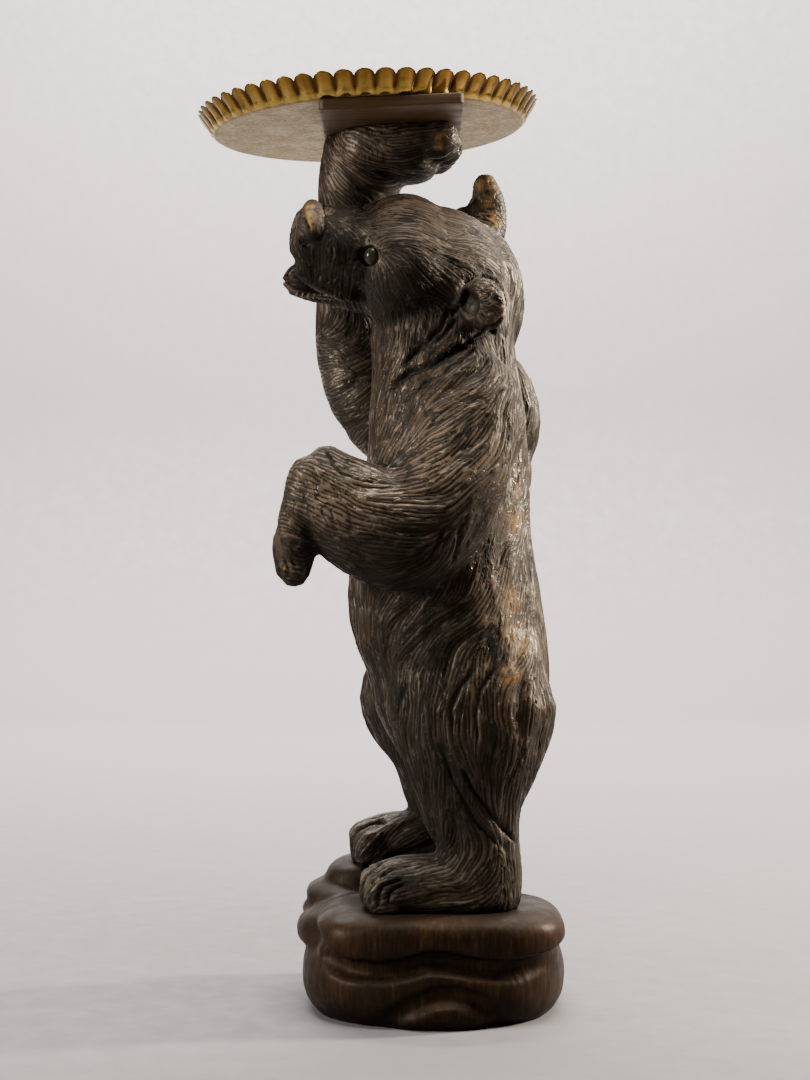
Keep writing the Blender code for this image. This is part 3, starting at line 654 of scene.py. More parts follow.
def carve_bent_arm(bm, place):
    """Left arm: upper arm down the side, forearm forward, paw hanging."""
    limb(bm, place, (
        (44, -70, 498, 46, 34), (30, -82, 450, 54, 38), (8, -90, 398, 58, 41), (-24, -95, 367, 59, 42),
        (-54, -98, 373, 56, 40), (-82, -98, 391, 51, 37), (-106, -97, 415, 39, 31),
    ))
    limb(bm, place, (
        (-110, -97, 412, 31, 28), (-119, -97, 390, 25, 25), (-127, -97, 368, 23, 24),
        (-131, -97, 348, 22, 24), (-132, -97, 334, 19, 22),
    ))
    for finger in range(4):
        spread = (finger - 1.5) * BENT_FINGER_PITCH
        blob(bm, place, (-131, BENT_PAW_Y + spread, 328), (15, 7.5, 16))


def ear_frame(place, side):
    """Matrix of an ear: x along the way that its cup opens, y outwards and back, z up."""
    centre = EAR_PLACES[side]
    return place @ Matrix.Translation(centre) @ Matrix.Rotation(side * EAR_TURN, 4, "Z")


def carve_head(bm, place):
    """Skull, cheeks, brow, open muzzle and ears, in the head's own axes."""
    blob(bm, place, (3, 5, -4), (65, 70, 55), squareness=0.9)
    blob(bm, place, (42, 4, 2), (52, 70, 50), squareness=0.88)
    for side in (1, -1):
        blob(bm, place, (28, side * 40, -26), (48, 32, 40))
        limb(bm, place, (
            (92, side * 38, -35, 12, 9), (120, side * 33, -36, 11, 9), (141, side * 24, -34, 9, 9),
        ))
    limb(bm, place, (
        (50, 0, -4, 40, 52), (85, 0, -7, 33, 45), (117, 0, -8, 31, 40), (136, 0, -9, 28, 33),
    ), squareness=0.82)
    limb(bm, place, (
        (30, 0, -40, 30, 44), (70, 0, -46, 24, 40), (100, 0, -56, 17, 33), (124, 1, -67, 11, 25),
        (137, 2, -74, 7, 16),
    ), squareness=0.8)
    blob(bm, ear_frame(place, 1), (0, 0, 0), (12, 28, 28))
    limb(bm, place, (
        (-40, -62, 2, 20, 30), (-42, -78, 15, 15, 28), (-40, -94, 30, 12, 20), (-38, -104, 39, 8, 11),
    ), side=(-0.87, 0.49, -0.04))
    blob(bm, place, (146, 0, 12), (12, 26, 14))


def head_hollows(place):
    """Cutter for the open mouth, the cups of the ears, the nostrils and the eye sockets."""
    bm = bmesh.new()
    loop = []
    for forward, up in ((90, -45), (176, -43), (176, -88), (146, -71), (120, -57)):
        loop.append(bm.verts.new((forward, -MOUTH_GRID, up)))
    face = bm.faces.new(loop)
    pushed = bmesh.ops.extrude_face_region(bm, geom=[face])["geom"]
    verts = [item for item in pushed if isinstance(item, bmesh.types.BMVert)]
    bmesh.ops.translate(bm, verts=verts, vec=(0, 2 * MOUTH_GRID, 0))
    bmesh.ops.recalc_face_normals(bm, faces=bm.faces)
    bmesh.ops.transform(bm, matrix=place, verts=bm.verts)
    for side in (1, -1):
        blob(bm, ear_frame(place, side), (13, side * -10, -3), (14, 15, 18))
        blob(bm, place, (150, side * 25, 0), (9, 4, 4.5), turn=side * -0.5, sides=16)
        forward, left, up = EYE_PLACES[side]
        blob(bm, place, (forward + 5, left + side * 3, up + 1), (10.8, 11.0, 12.0), sides=16)
    return add_object("head_hollows", bm)


def add_face_details(bm, place):
    """Thin lower lip, lid rims, mouth corners and the tongue, which are carved from the same wood."""
    for side in (1, -1):
        forward, left, up = EYE_PLACES[side]
        middle = Matrix.Translation((forward + 0.4, left + side * 0.6, up))
        lid = place @ middle @ Matrix.Rotation(side * 0.62, 4, "Z")
        for turn in range(20):
            angle = math.tau * turn / 20
            blob(bm, lid, (0, 10.8 * math.cos(angle), 12.4 * math.sin(angle)), (2.2, 1.8, 1.8), sides=8)
        limb(bm, place, (
            (98, side * 34, -47, 3.2, 3.2), (122, side * 26, -59, 3.0, 3.0),
            (138, side * 16, -68, 2.8, 2.8), (144, side * 4, -72, 2.6, 2.6),
        ))
        blob(bm, place, (101, side * 43, -37), (7, 4, 5))
    blob(bm, place, (130, 0, -60), (14, 12, 6), lean=0.35)


def face_inlays(place):
    """Eye beads and small teeth, as bodies of their own, with their marks."""
    inlays = []
    for side in (1, -1):
        bead = bmesh.new()
        blob(bead, place, EYE_PLACES[side], (8.4, 8.0, 9.6), turn=side * 0.6, sides=32)
        inlays.append(("bead", add_object("eye_bead", bead)))
        teeth = bmesh.new()
        for tooth in range(7):
            share = tooth / 6
            blob(teeth, place, (104 + 30 * share, side * (33 - 9 * share), -50 - 15 * share),
                 (1.7, 1.8, 4.2 - share), sides=12)
        inlays.append(("ivory", add_object("small_teeth", teeth)))
    return inlays


def add_mesh(bm, item):
    """Put the mesh of an object into a bmesh and remove the object."""
    bm.from_mesh(item.data)
    remove(item)


def read_vectors(collection, name):
    """Array of one vector for each item of a mesh's collection."""
    values = np.empty(len(collection) * 3)
    collection.foreach_get(name, values)
    return values.reshape(-1, 3)


def flow_guides():
    """Arrays of the guides of the hair: places, ways, and (spacing, depth, lock depth)."""
    body, head = body_frame(), head_frame()
    places, ways, looks = [], [], []
    for matrix, patches, senses in (
        (body, SIDE_FLOW, (1, -1)), (body, NEAR_FLOW + FAR_FLOW, (1,)), (head, HEAD_FLOW, (1, -1)),
    ):
        for *look, rows in patches:
            for x, y, z, way_x, way_y, way_z in rows:
                for sense in senses:
                    way = Vector((way_x, sense * way_y, way_z))
                    places.append(matrix @ Vector((x, sense * y, z)))
                    ways.append((matrix.to_3x3() @ way).normalized())
                    looks.append([value * MM for value in look])
    return np.array(places), np.array(ways), np.array(looks)


def hair_flow(points, normals):
    """Way of the hair along the surface at each point, with (spacing, depth, lock depth)."""
    places, guide_ways, guide_looks = flow_guides()
    soft = (GUIDE_SOFTNESS * unit()) ** 2
    gap = ((points[:, None, :] - places[None, :, :]) ** 2).sum(2)
    weight = 1 / (gap + soft) ** 2
    weight /= weight.sum(1, keepdims=True)
    ways = weight @ guide_ways
    looks = weight @ guide_looks
    ways[:, 2] -= HAIR_DROOP
    turned = np.cross(normals, ways)
    broad, close = SWAY_WAVES
    sway = [
        noise.noise(Vector(point) * broad) + 0.5 * noise.noise(Vector(point) * close) for point in points
    ]
    ways += turned * (HAIR_SWAY * np.array(sway))[:, None]
    for side in (1, -1):
        eye = np.array(head_frame() @ Vector(EYE_PLACES[side]))
        out = points - eye
        away = np.linalg.norm(out, axis=1)
        near = np.clip((EYE_REACH * unit() - away) / (EYE_EASING * unit()), 0, 1)[:, None]
        ways = ways * (1 - near) + near * out / np.maximum(away, 1e-6)[:, None]
    ways -= normals * (ways * normals).sum(1, keepdims=True)
    ways /= np.maximum(np.linalg.norm(ways, axis=1), 1e-6)[:, None]
    return ways, looks


def lay_strokes(tree, centres, ways, spacing, lengths, step, seed):
    """Evenly spaced strokes along the hair: for each, a list of (place, normal, way, face)."""
    rng = random.Random(seed)
    cell = max(spacing)
    taken = {}

    def crowded(place, room):
        room *= room
        x, y, z = (math.floor(value / cell) for value in place)
        for i in (x - 1, x, x + 1):
            for j in (y - 1, y, y + 1):
                for k in (z - 1, z, z + 1):
                    for other in taken.get((i, j, k), ()):
                        if (other - place).length_squared < room:
                            return True
        return False

    def follow(place, sense, reach):
        trail = []
        while len(trail) * step < reach:
            near, normal, face, _ = tree.find_nearest(place)
            if trail and crowded(near, 0.5 * spacing[face]):
                break
            trail.append((near, normal, ways[face], face))
            place = near + ways[face] * (sense * step)
        return trail

    strokes = []
    order = list(range(len(centres)))
    rng.shuffle(order)
    for face in order:
        start = centres[face]
        if crowded(start, 0.9 * spacing[face]):
            continue
        reach = rng.uniform(*lengths) * spacing[face]
        back = follow(start, -1, reach / 2)
        ahead = follow(start, 1, reach / 2)
        stroke = back[:0:-1] + ahead
        if len(stroke) < 3:
            continue
        for place, _, _, _ in stroke:
            key = tuple(math.floor(value / cell) for value in place)
            taken.setdefault(key, []).append(place)
        strokes.append(stroke)
    return strokes


class Samples:
    """Points along a set of strokes, ready to be pressed into a surface."""

    def __init__(self):
        self.places, self.normals, self.ways = [], [], []
        self.halves, self.depths = [], []

    def add(self, stroke, half, depth, fade):
        """Add one stroke of (place, normal, way); it fades in and out over a length."""
        ends = [0.0]
        for before, after in zip(stroke, stroke[1:]):
            ends.append(ends[-1] + (after[0] - before[0]).length)
        for (place, normal, way, *_), run in zip(stroke, ends):
            share = min(1.0, (run + fade / 6) / fade, (ends[-1] - run + fade / 6) / fade)
            self.places.append(place)
            self.normals.append(normal)
            self.ways.append(way)
            self.halves.append(half)
            self.depths.append(depth * share * share * (3 - 2 * share))

    def groove(self, points, shape):
        """Depth of the strokes at each point, and how far into a groove it lies from 0 to 1."""
        tree = KDTree(len(self.places))
        for index, place in enumerate(self.places):
            tree.insert(place, index)
        tree.balance()
        nearest = np.array([tree.find(point)[1] for point in points])
        offset = points - np.array(self.places)[nearest]
        across = np.cross(np.array(self.normals)[nearest], np.array(self.ways)[nearest])
        halves = np.array(self.halves)[nearest]
        side = np.abs((offset * across).sum(1)) / halves
        away = np.linalg.norm(offset, axis=1)
        hit = (away < 2.2 * halves).astype(float)
        profile = shape(np.clip(side, 0, 1)) * hit
        depths = np.array(self.depths)[nearest]
        strongest = max(self.depths)
        return depths * profile, profile * np.clip(depths / strongest * 2.6, 0, 1)


def valley(side):
    """Broad soft hollow."""
    return (1 - side ** 2) ** 2


def parting(side):
    """Sharp cut with rounded strands on both sides."""
    return (1 - side) ** 1.35


def press(mesh, depth):
    """Push each vertex in along its normal."""
    points = read_vectors(mesh.vertices, "co")
    normals = read_vectors(mesh.vertex_normals, "vector")
    mesh.vertices.foreach_set("co", (points - normals * depth[:, None]).ravel())
    mesh.update()


def surface_of(item):
    """Search tree, face middles, face normals and the hair's ways on an object's surface."""
    mesh = item.data
    centres = read_vectors(mesh.polygons, "center")
    normals = read_vectors(mesh.polygons, "normal")
    ways, looks = hair_flow(centres, normals)
    tree = BVHTree.FromObject(item, bpy.context.evaluated_depsgraph_get())
    return tree, [Vector(row) for row in centres], [Vector(row) for row in ways], looks


def press_locks(item, lock_share):
    """Press the broad furrows between the locks of hair."""
    tree, centres, ways, looks = surface_of(item)
    spacing = [LOCK_SPACING * unit()] * len(centres)
    samples = Samples()
    rng = random.Random(5)
    for stroke in lay_strokes(tree, centres, ways, spacing, LOCK_LENGTHS, 4 * unit(), 11):
        depth = looks[stroke[len(stroke) // 2][3]][2] * rng.uniform(0.7, 1.35) * lock_share
        samples.add(stroke, LOCK_HALF_WIDTH * unit(), depth, LOCK_FADE * unit())
    points = read_vectors(item.data.vertices, "co")
    press(item.data, samples.groove(points, valley)[0])


def seen_from_camera(tree, x, z):
    """Place of the surface behind a point (x, z) of the grid's near side."""
    start = Vector(CAMERA_PLACE)
    point = grid_point(x, NEAR_SIDE, z)
    return tree.ray_cast(start, point - start)[0] or point


def along_route(route):
    """Points at even steps along a route of corners."""
    for before, after in zip(route, route[1:]):
        count = max(2, round((after - before).length / LINE_STEP))
        for step in range(count):
            yield before.lerp(after, step / count)


def gouge_lines(tree):
    """Half width, depth and spots on the surface of each deep gouge and crease."""
    lines = []
    start = Vector(CAMERA_PLACE)
    for half, depth, points in NEAR_GOUGES:
        route = [grid_point(x, NEAR_SIDE, z) for x, z in points]
        hits = [tree.ray_cast(start, point - start) for point in along_route(route)]
        lines.append((half, depth, [hit[:2] for hit in hits if hit[0]]))

    def crease(half, depth, points, place=grid_point):
        route = [place(*point) for point in points]
        lines.append((half, depth, [tree.find_nearest(point)[:2] for point in along_route(route)]))

    sole = FAR_SEAT_RISE / unit()
    for y in (36, 53, 69, 86):
        toe = ((-89, 4), (-87, 22), (-75, 42), (-59, 50), (-41, 54))
        crease(4.4, 3.6, [(x, y, z + sole) for x, z in toe])
    for gap in (-1, 0, 1):
        y = BENT_PAW_Y + gap * BENT_FINGER_PITCH
        crease(3.0, 2.6, ((-142, y, 314), (-152, y, 335), (-154, y, 356)))
    for gap in (-1.5, -0.5, 0.5, 1.5):
        y = RAISED_PAW_Y + gap * RAISED_FINGER_PITCH
        crease(3.6, 2.2, ((36, y, 772), (38, y, 758), (26, y, 744)))
    head = head_frame()

    def on_head(*point):
        return head @ Vector(point)

    for side in (1, -1):
        crease(2.2, 1.4, ((100, side * 48, -34), (125, side * 42, -33), (150, side * 30, -32)), on_head)
        crease(2.0, 1.2, ((168, side * 2, -2), (168, side * 2, -14), (164, side * 2, -32)), on_head)
    return lines


def as_stroke(spots):
    """Give each point of a line its way to the next."""
    stroke = []
    for index, (place, normal) in enumerate(spots):
        before = spots[max(index - 1, 0)][0]
        after = spots[min(index + 1, len(spots) - 1)][0]
        stroke.append((place, normal, (after - before).normalized()))
    return stroke


def smooth_mask(points):
    """0 where the wood is left smooth, 1 where it takes hair strokes."""
    head, body = head_frame(), body_frame()
    spots = [(body @ Vector((-146, -97, 345)), 27), (body @ Vector((12, -6, 760)), 11)]
    for side in (1, -1):
        spots.append((head @ Vector(EYE_PLACES[side]), 14))
        spots.append((head @ Vector((150, side * 14, 12)), 17))
        spots.append((head @ Vector((128, side * 12, -58)), 17))
        spots.append((ear_frame(head, side) @ Vector((6, side * -4, 0)), 24))
    mask = np.ones(len(points))
    for centre, radius in spots:
        away = np.linalg.norm(points - np.array(centre), axis=1) / (radius * unit())
        mask *= np.clip((away - 0.85) / 0.3, 0, 1)
    for centre in ((-66, -64, 12), (-81, 64, 12 + FAR_SEAT_RISE / unit())):
        away = np.linalg.norm(points - np.array(body @ Vector(centre)), axis=1) / (34 * unit())
        mask *= 0.25 + 0.75 * np.clip((away - 0.75) / 0.4, 0, 1)
    return mask


def painted_light_and_shade_map(points):
    """Broad painted light and shade over the figure, partly darker stain, laid out as the camera sees it.
    """
    start = np.array(CAMERA_PLACE)
    way = points - start
    seen = start + way * ((NEAR_SIDE * unit() - start[1]) / way[:, 1])[:, None]
    tone = np.zeros(len(points))
    for x, z, radius, value in PAINTED_LIGHT_AND_SHADE:
        spot = np.array(grid_point(x, NEAR_SIDE, z))
        away = np.linalg.norm(seen - spot, axis=1) / (radius * unit())
        tone += value * np.clip(1 - away ** 2, 0, 1) ** 1.5
    return np.clip(tone, -1, 1)


def strand_count(mesh, tree, ways, looks):
    """Number of fine strands counted across the hair, as smooth over the surface as its flow allows."""
    points = read_vectors(mesh.vertices, "co")
    normals = read_vectors(mesh.vertex_normals, "vector")
    faces = [tree.find_nearest(Vector(point))[2] for point in points]
    along = np.array(ways)[faces]
    pitch = STRAND_PITCH * np.array(looks)[faces, 0]
    across = np.cross(normals, along) / pitch[:, None]
    edges = np.empty(len(mesh.edges) * 2, dtype=np.int32)
    mesh.edges.foreach_get("vertices", edges)
    first, last = edges.reshape(-1, 2).T
    steps = (0.5 * (across[first] + across[last]) * (points[last] - points[first])).sum(1)

    def gathered(values):
        return np.bincount(last, values, len(points)) - np.bincount(first, values, len(points))

    count = np.zeros(len(points))
    rest = gathered(steps)
    degree = np.maximum(np.bincount(edges, minlength=len(points)), 1)
    scaled = rest / degree
    course = scaled.copy()
    gain = rest @ scaled
    for _ in range(STRAND_ROUNDS):
        pulled = gathered(course[last] - course[first])
        share = gain / max(course @ pulled, 1e-12)
        count += share * course
        rest = rest - share * pulled
        scaled = rest / degree
        gain, before = rest @ scaled, gain
        course = scaled + gain / before * course
    return count


def spot_mask(points, spots):
    """1 at the middle of each round spot, falling to 0 at its radius."""
    mask = np.zeros(len(points))
    for centre, radius in spots:
        away = np.linalg.norm(points - np.array(centre), axis=1) / radius
        mask = np.maximum(mask, np.clip(1.25 - away * 1.25, 0, 1))
    return mask


def write_attribute(mesh, name, values):
    """Keep one number for each vertex, for the materials to read."""
    layer = mesh.attributes.new(name, "FLOAT", "POINT")
    layer.data.foreach_set("value", values.astype(np.float32))


def flatten_contacts(mesh):
    """Level both soles and the palm, where the piece rests and carries."""
    points = read_vectors(mesh.vertices, "co")
    near_sole = NEAR_SEAT + SEAT_GAP
    far_sole = near_sole + FAR_SEAT_RISE
    low = np.where(points[:, 1] < 0, near_sole, far_sole)
    foot = points[:, 2] < far_sole + FOOT_HEIGHT
    points[:, 2] = np.where(foot, np.maximum(points[:, 2], low), points[:, 2])
    palm = palm_frame()
    up = np.array(palm.to_3x3() @ Vector((0, 0, 1)))
    over = (points - np.array(palm.translation)) @ up + SEAT_GAP
    points -= up * np.maximum(over, 0)[:, None]
    mesh.vertices.foreach_set("co", points.ravel())
    mesh.update()


def carve_masses(material):
    """Rough figure: all masses fused, with its broad locks."""
    sizes = settings()[0]
    bm = bmesh.new()
    place = body_frame()
    carve_torso(bm, place)
    carve_leg(bm, place, side=-1, forward=0, sole=0)
    carve_leg(bm, place, side=1, forward=15, sole=FAR_SEAT_RISE / unit(), knee=12)
    carve_raised_arm(bm, place)
    carve_bent_arm(bm, place)
    carve_head(bm, head_frame())
    bmesh.ops.recalc_face_normals(bm, faces=bm.faces)
    bear = add_object("carved_bear", bm, material)
    melt_together(bear, sizes.mass_grain, 5)
    press_locks(bear, sizes.lock_share)
    return bear


def cut_face(bear):
    """Cut the mouth, ears, nostrils and eye sockets, and add the lips, lids and tongue."""
    hollows = head_hollows(head_frame())
    knife = bear.modifiers.new("hollows", "BOOLEAN")
    knife.operation = "DIFFERENCE"
    knife.solver = "EXACT"
    knife.object = hollows
    keep_result(bear)
    remove(hollows)
    bm = bmesh.new()
    bm.from_mesh(bear.data)
    details = bmesh.new()
    add_face_details(details, head_frame())
    bmesh.ops.recalc_face_normals(details, faces=details.faces)
    add_mesh(bm, add_object("face_details", details))
    bm.to_mesh(bear.data)
    bm.free()


def hair_samples(tree, centres, ways, looks):
    """Samples of all hair strokes, each with a width and depth of its own."""
    samples = Samples()
    rng = random.Random(23)
    room = [STROKE_CROWDING * look[0] for look in looks]
    for stroke in lay_strokes(tree, centres, ways, room, STROKE_LENGTHS, 2 * MM, 3):
        spacing, depth, _ = looks[stroke[len(stroke) // 2][3]]
        half = spacing * rng.uniform(0.44, 0.54)
        samples.add(stroke, half, depth * rng.uniform(0.75, 1.2), 1.8 * spacing)
    return samples


def gouge_samples(tree):
    """Samples of the deep gouges and creases."""
    samples = Samples()
    for half, depth, spots in gouge_lines(tree):
        if len(spots) > 3:
            samples.add(as_stroke(spots), half * unit(), depth * unit(), GOUGE_FADE * unit())
    return samples


def finish_marks(tree, points):
    """Attributes of the worn places with painted glints, the chipped places, the painted shade, and the
    broad painted light and shade.
    """
    head = head_frame()

    def seen(rows):
        return [(seen_from_camera(tree, x, z), radius * unit()) for x, z, radius in rows]

    # Painted glints, partly wear, along the back and on the far ear: worn gold at half strength
    rubbed_and_lit = [(head @ Vector((-38, -96, 44)), 24 * unit())] + seen(PAINTED_GLINTS)
    chip = seen([(x, z, CHIP_RADIUS) for x, z in EAR_CHIP])
    # Painted shade inside the open mouth and the ear cups
    dark = [(head @ Vector((f, 0, u)), radius * unit()) for f, u, radius in (
        (106, -52, 36), (126, -58, 24))]
    dark += [(ear_frame(head, side) @ Vector((4, side * -10, -4)), 17 * unit()) for side in (1, -1)]
    return {
        # Worn gold, partly painted glints
        "polish_and_glint": np.maximum(spot_mask(points, seen(POLISHED_AND_GLINTS)), 0.5 * spot_mask(points, rubbed_and_lit)),
        "bare": spot_mask(points, chip),
        "bead": np.zeros(len(points)),
        "ivory": np.zeros(len(points)),
        "shade": spot_mask(points, dark + seen(SHADED)),
        # Broad painted light and shade, partly darker stain
        "tone": painted_light_and_shade_map(points),
    }


def carve_bear(material):
    """The whole figure with its face, gouges and hair strokes."""
    sizes = settings()[0]
    bear = carve_masses(material)
    tree, centres, ways, looks = surface_of(bear)
    cut_face(bear)
    melt_together(bear, sizes.fine_grain, 2)

    mesh = bear.data
    points = read_vectors(mesh.vertices, "co")
    mask = smooth_mask(points)
    stroke_depth, stroke_tone = hair_samples(tree, centres, ways, looks).groove(points, parting)
    gouge_depth, gouge_tone = gouge_samples(tree).groove(points, valley)
    press(mesh, stroke_depth * mask * sizes.stroke_share + gouge_depth)
    flatten_contacts(mesh)

    relief = 1 - np.maximum(stroke_tone * mask, gouge_tone)
    write_attribute(mesh, "relief", relief * (0.6 + 0.4 * mask))
    for name, values in finish_marks(tree, points).items():
        write_attribute(mesh, name, values)
    thin(bear, BEAR_TRIANGLES)
    write_attribute(bear.data, "strand", strand_count(bear.data, tree, ways, looks))
    add_inlays(bear)
    finish_piece(bear, "bear")


def add_inlays(bear):
    """Join the eye beads and the teeth to the figure, marked for their finish."""
    bm = bmesh.new()
    bm.from_mesh(bear.data)
    marks = {name: bm.verts.layers.float[name] for name in ("relief", "bead", "ivory")}
    for kind, item in face_inlays(head_frame()):
        before = len(bm.verts)
        add_mesh(bm, item)
        bm.verts.ensure_lookup_table()
        for vert in bm.verts[before:]:
            vert[marks["relief"]] = 1.0
            vert[marks[kind]] = 1.0
    bm.to_mesh(bear.data)
    bm.free()


def rock_lobe(bm, place, spread, top, thickness, squareness):
    """Rounded lump of rock; place and spread are shares of the base's half length and half width."""
    low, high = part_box("rock_base")
    half = (high - low) / 2
    centre = (place[0] * half.x, place[1] * half.y, top - thickness / 2)
    blob(bm, Matrix.Identity(4), centre, (spread[0] * half.x, spread[1] * half.y, thickness / 2),
         squareness=squareness, sides=48)


def fold_strokes(rock, lift):
    """Stroke of the recess under the ledges, with its shares of the depth, and stroke of the arch."""
    tree = BVHTree.FromObject(rock, bpy.context.evaluated_depsgraph_get())
    low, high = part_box("rock_base")
    half = (high - low) / 2
    recess, shares = [], []
    for step in range(FOLD_SAMPLES + 1):
        angle = math.tau * step / FOLD_SAMPLES
        out = Vector((math.cos(angle), math.sin(angle), 0))
        height = float(np.interp(out.x, *zip(*RECESS_LINE))) + lift
        behind = min(1.0, max(0.0, (out.y + 0.25) / 0.6))
        height += (RECESS_BEHIND - height) * behind
        hit = tree.ray_cast(out * half.x * 2 + Vector((0, 0, height * NEAR_SEAT)), -out)
        recess.append(hit[:2])
        shares.append(min(1.0, max(0.15, 1 + 3 * (out.x + 0.72))))
    arch = []
    ends = ARCH_LINE[0][0], ARCH_LINE[-1][0]
    for step in range(FOLD_SAMPLES // 4 + 1):
        x = ends[0] + (ends[1] - ends[0]) * step / (FOLD_SAMPLES // 4)
        height = float(np.interp(x, *zip(*ARCH_LINE))) + lift
        hit = tree.ray_cast(Vector((x * half.x, -2 * half.y, height * NEAR_SEAT)), Vector((0, 1, 0)))
        arch.append(hit[:2])
    return as_stroke(recess), shares, as_stroke(arch)


def press_fold(rock, lift, half, recess_depth, arch_depth, unevenness=0.0):
    """Press the recess all round the rock and the arch in front, both raised by a share."""
    recess, shares, arch = fold_strokes(rock, lift)
    folds = Samples()
    folds.add(recess, half, recess_depth, 1 * MM)
    folds.depths = [depth * share for depth, share in zip(folds.depths, shares)]
    folds.add(arch, half, arch_depth, 25 * MM)
    points = read_vectors(rock.data.vertices, "co")
    ripple = np.array([
        noise.noise(Vector(point) * 24) + 0.4 * noise.noise(Vector(point) * 70) for point in points
    ])
    press(rock.data, folds.groove(points, valley)[0] + ripple * unevenness * MM)


def press_folds(rock):
    """Press the soft folds under the ledges, then the sharper edges over them."""
    press_fold(rock, 0.0, 13 * MM, 9 * MM, 6.3 * MM)
    press_fold(rock, 0.075, 6 * MM, 2.6 * MM, 1.6 * MM, unevenness=0.9)
    soften = rock.modifiers.new("soften", "SMOOTH")
    soften.iterations = 4
    keep_result(rock)


def carve_rock_base(material):
    """Rounded ledges of rock under the feet, with the lower tier that bulges under them."""
    bm = bmesh.new()
    near_top = NEAR_SEAT
    far_top = near_top + FAR_SEAT_RISE
    rock_lobe(bm, (0.07, -0.28), (0.905, 0.66), near_top + LEDGE_CROWN, LEDGE_THICKNESS, 0.6)
    rock_lobe(bm, (-0.06, 0.56), (0.74, 0.43), far_top + LEDGE_CROWN, FAR_LEDGE_THICKNESS, 0.6)
    rock_lobe(bm, (-0.6, 0.5), (0.38, 0.44), near_top + FAR_LIP_RISE, FAR_LIP_THICKNESS, 0.85)
    rock_lobe(bm, (-0.44, 0.05), (0.55, 0.55), near_top - SHOULDER_DROP, SHOULDER_THICKNESS, 0.8)
    rock_lobe(bm, (0, 0.1), (0.84, 0.8), near_top * 0.95, near_top, 0.6)
    rock_lobe(bm, (0.025, 0.02), (0.965, 0.98), near_top * 0.88, near_top * 1.1, 0.75)
    rock_lobe(bm, (0.04, -0.54), (0.54, 0.455), near_top * 0.46, near_top * 0.6, 0.9)
    bmesh.ops.recalc_face_normals(bm, faces=bm.faces)
    rock = add_object("carved_rock", bm, material)
    melt_together(rock, settings()[0].rock_grain, 26)
    press_folds(rock)
    points = read_vectors(rock.data.vertices, "co")
    top = np.where(points[:, 1] < SEAT_GAP, near_top, far_top)
    points[:, 2] = np.clip(points[:, 2], 0, top)
    rock.data.vertices.foreach_set("co", points.ravel())
    rock.data.update()
    thin(rock, BASE_TRIANGLES)
    finish_piece(rock, "rock_base")


def build_board(material):
    """Flat board with rounded corners and eased edges, lying on the palm."""
    bm = bmesh.new()
    verts = bmesh.ops.create_cube(bm, size=1.0)["verts"]
    place = Matrix.Translation((0, 0, BOARD_THICKNESS / 2)) @ Matrix.Diagonal(
        (BOARD_WIDTH, BOARD_LENGTH, BOARD_THICKNESS, 1))
    bmesh.ops.transform(bm, matrix=place, verts=verts)
    for upright, radius, segments in ((True, BOARD_CORNER_RADIUS, 10), (False, BOARD_EASING, 3)):
        edges = [edge for edge in bm.edges
                 if (abs(edge.verts[0].co.z - edge.verts[1].co.z) > 1e-6) == upright]
        bmesh.ops.bevel(bm, geom=edges, offset=radius, segments=segments, profile=0.5,
                        affect="EDGES", material=-1)
    bmesh.ops.transform(bm, matrix=palm_frame(), verts=bm.verts)
    board = add_object("tray_board_plank", bm, material)
    finish_piece(board, "tray_board")


def tray_frame():
    """Matrix from the tray's own axes, at the middle of its underside, to the model."""
    lift = BOARD_THICKNESS + SEAT_GAP
    return palm_frame() @ Matrix.Translation((-TRAY_OFFSET_FORWARD, TRAY_OFFSET_SIDE, lift))


def tray_loop(bm, loop, shape):
    """Extrude a loop and lay it by a function from the angle to radius and height."""
    grown = bmesh.ops.extrude_edge_only(bm, edges=loop_edges(loop))["geom"]
    grown = [item for item in grown if isinstance(item, bmesh.types.BMVert)]
    for vert in grown:
        angle = math.atan2(vert.co.y, vert.co.x)
        radius, height = shape(angle)
        vert.co = (radius * math.cos(angle), radius * math.sin(angle), height)
    return grown


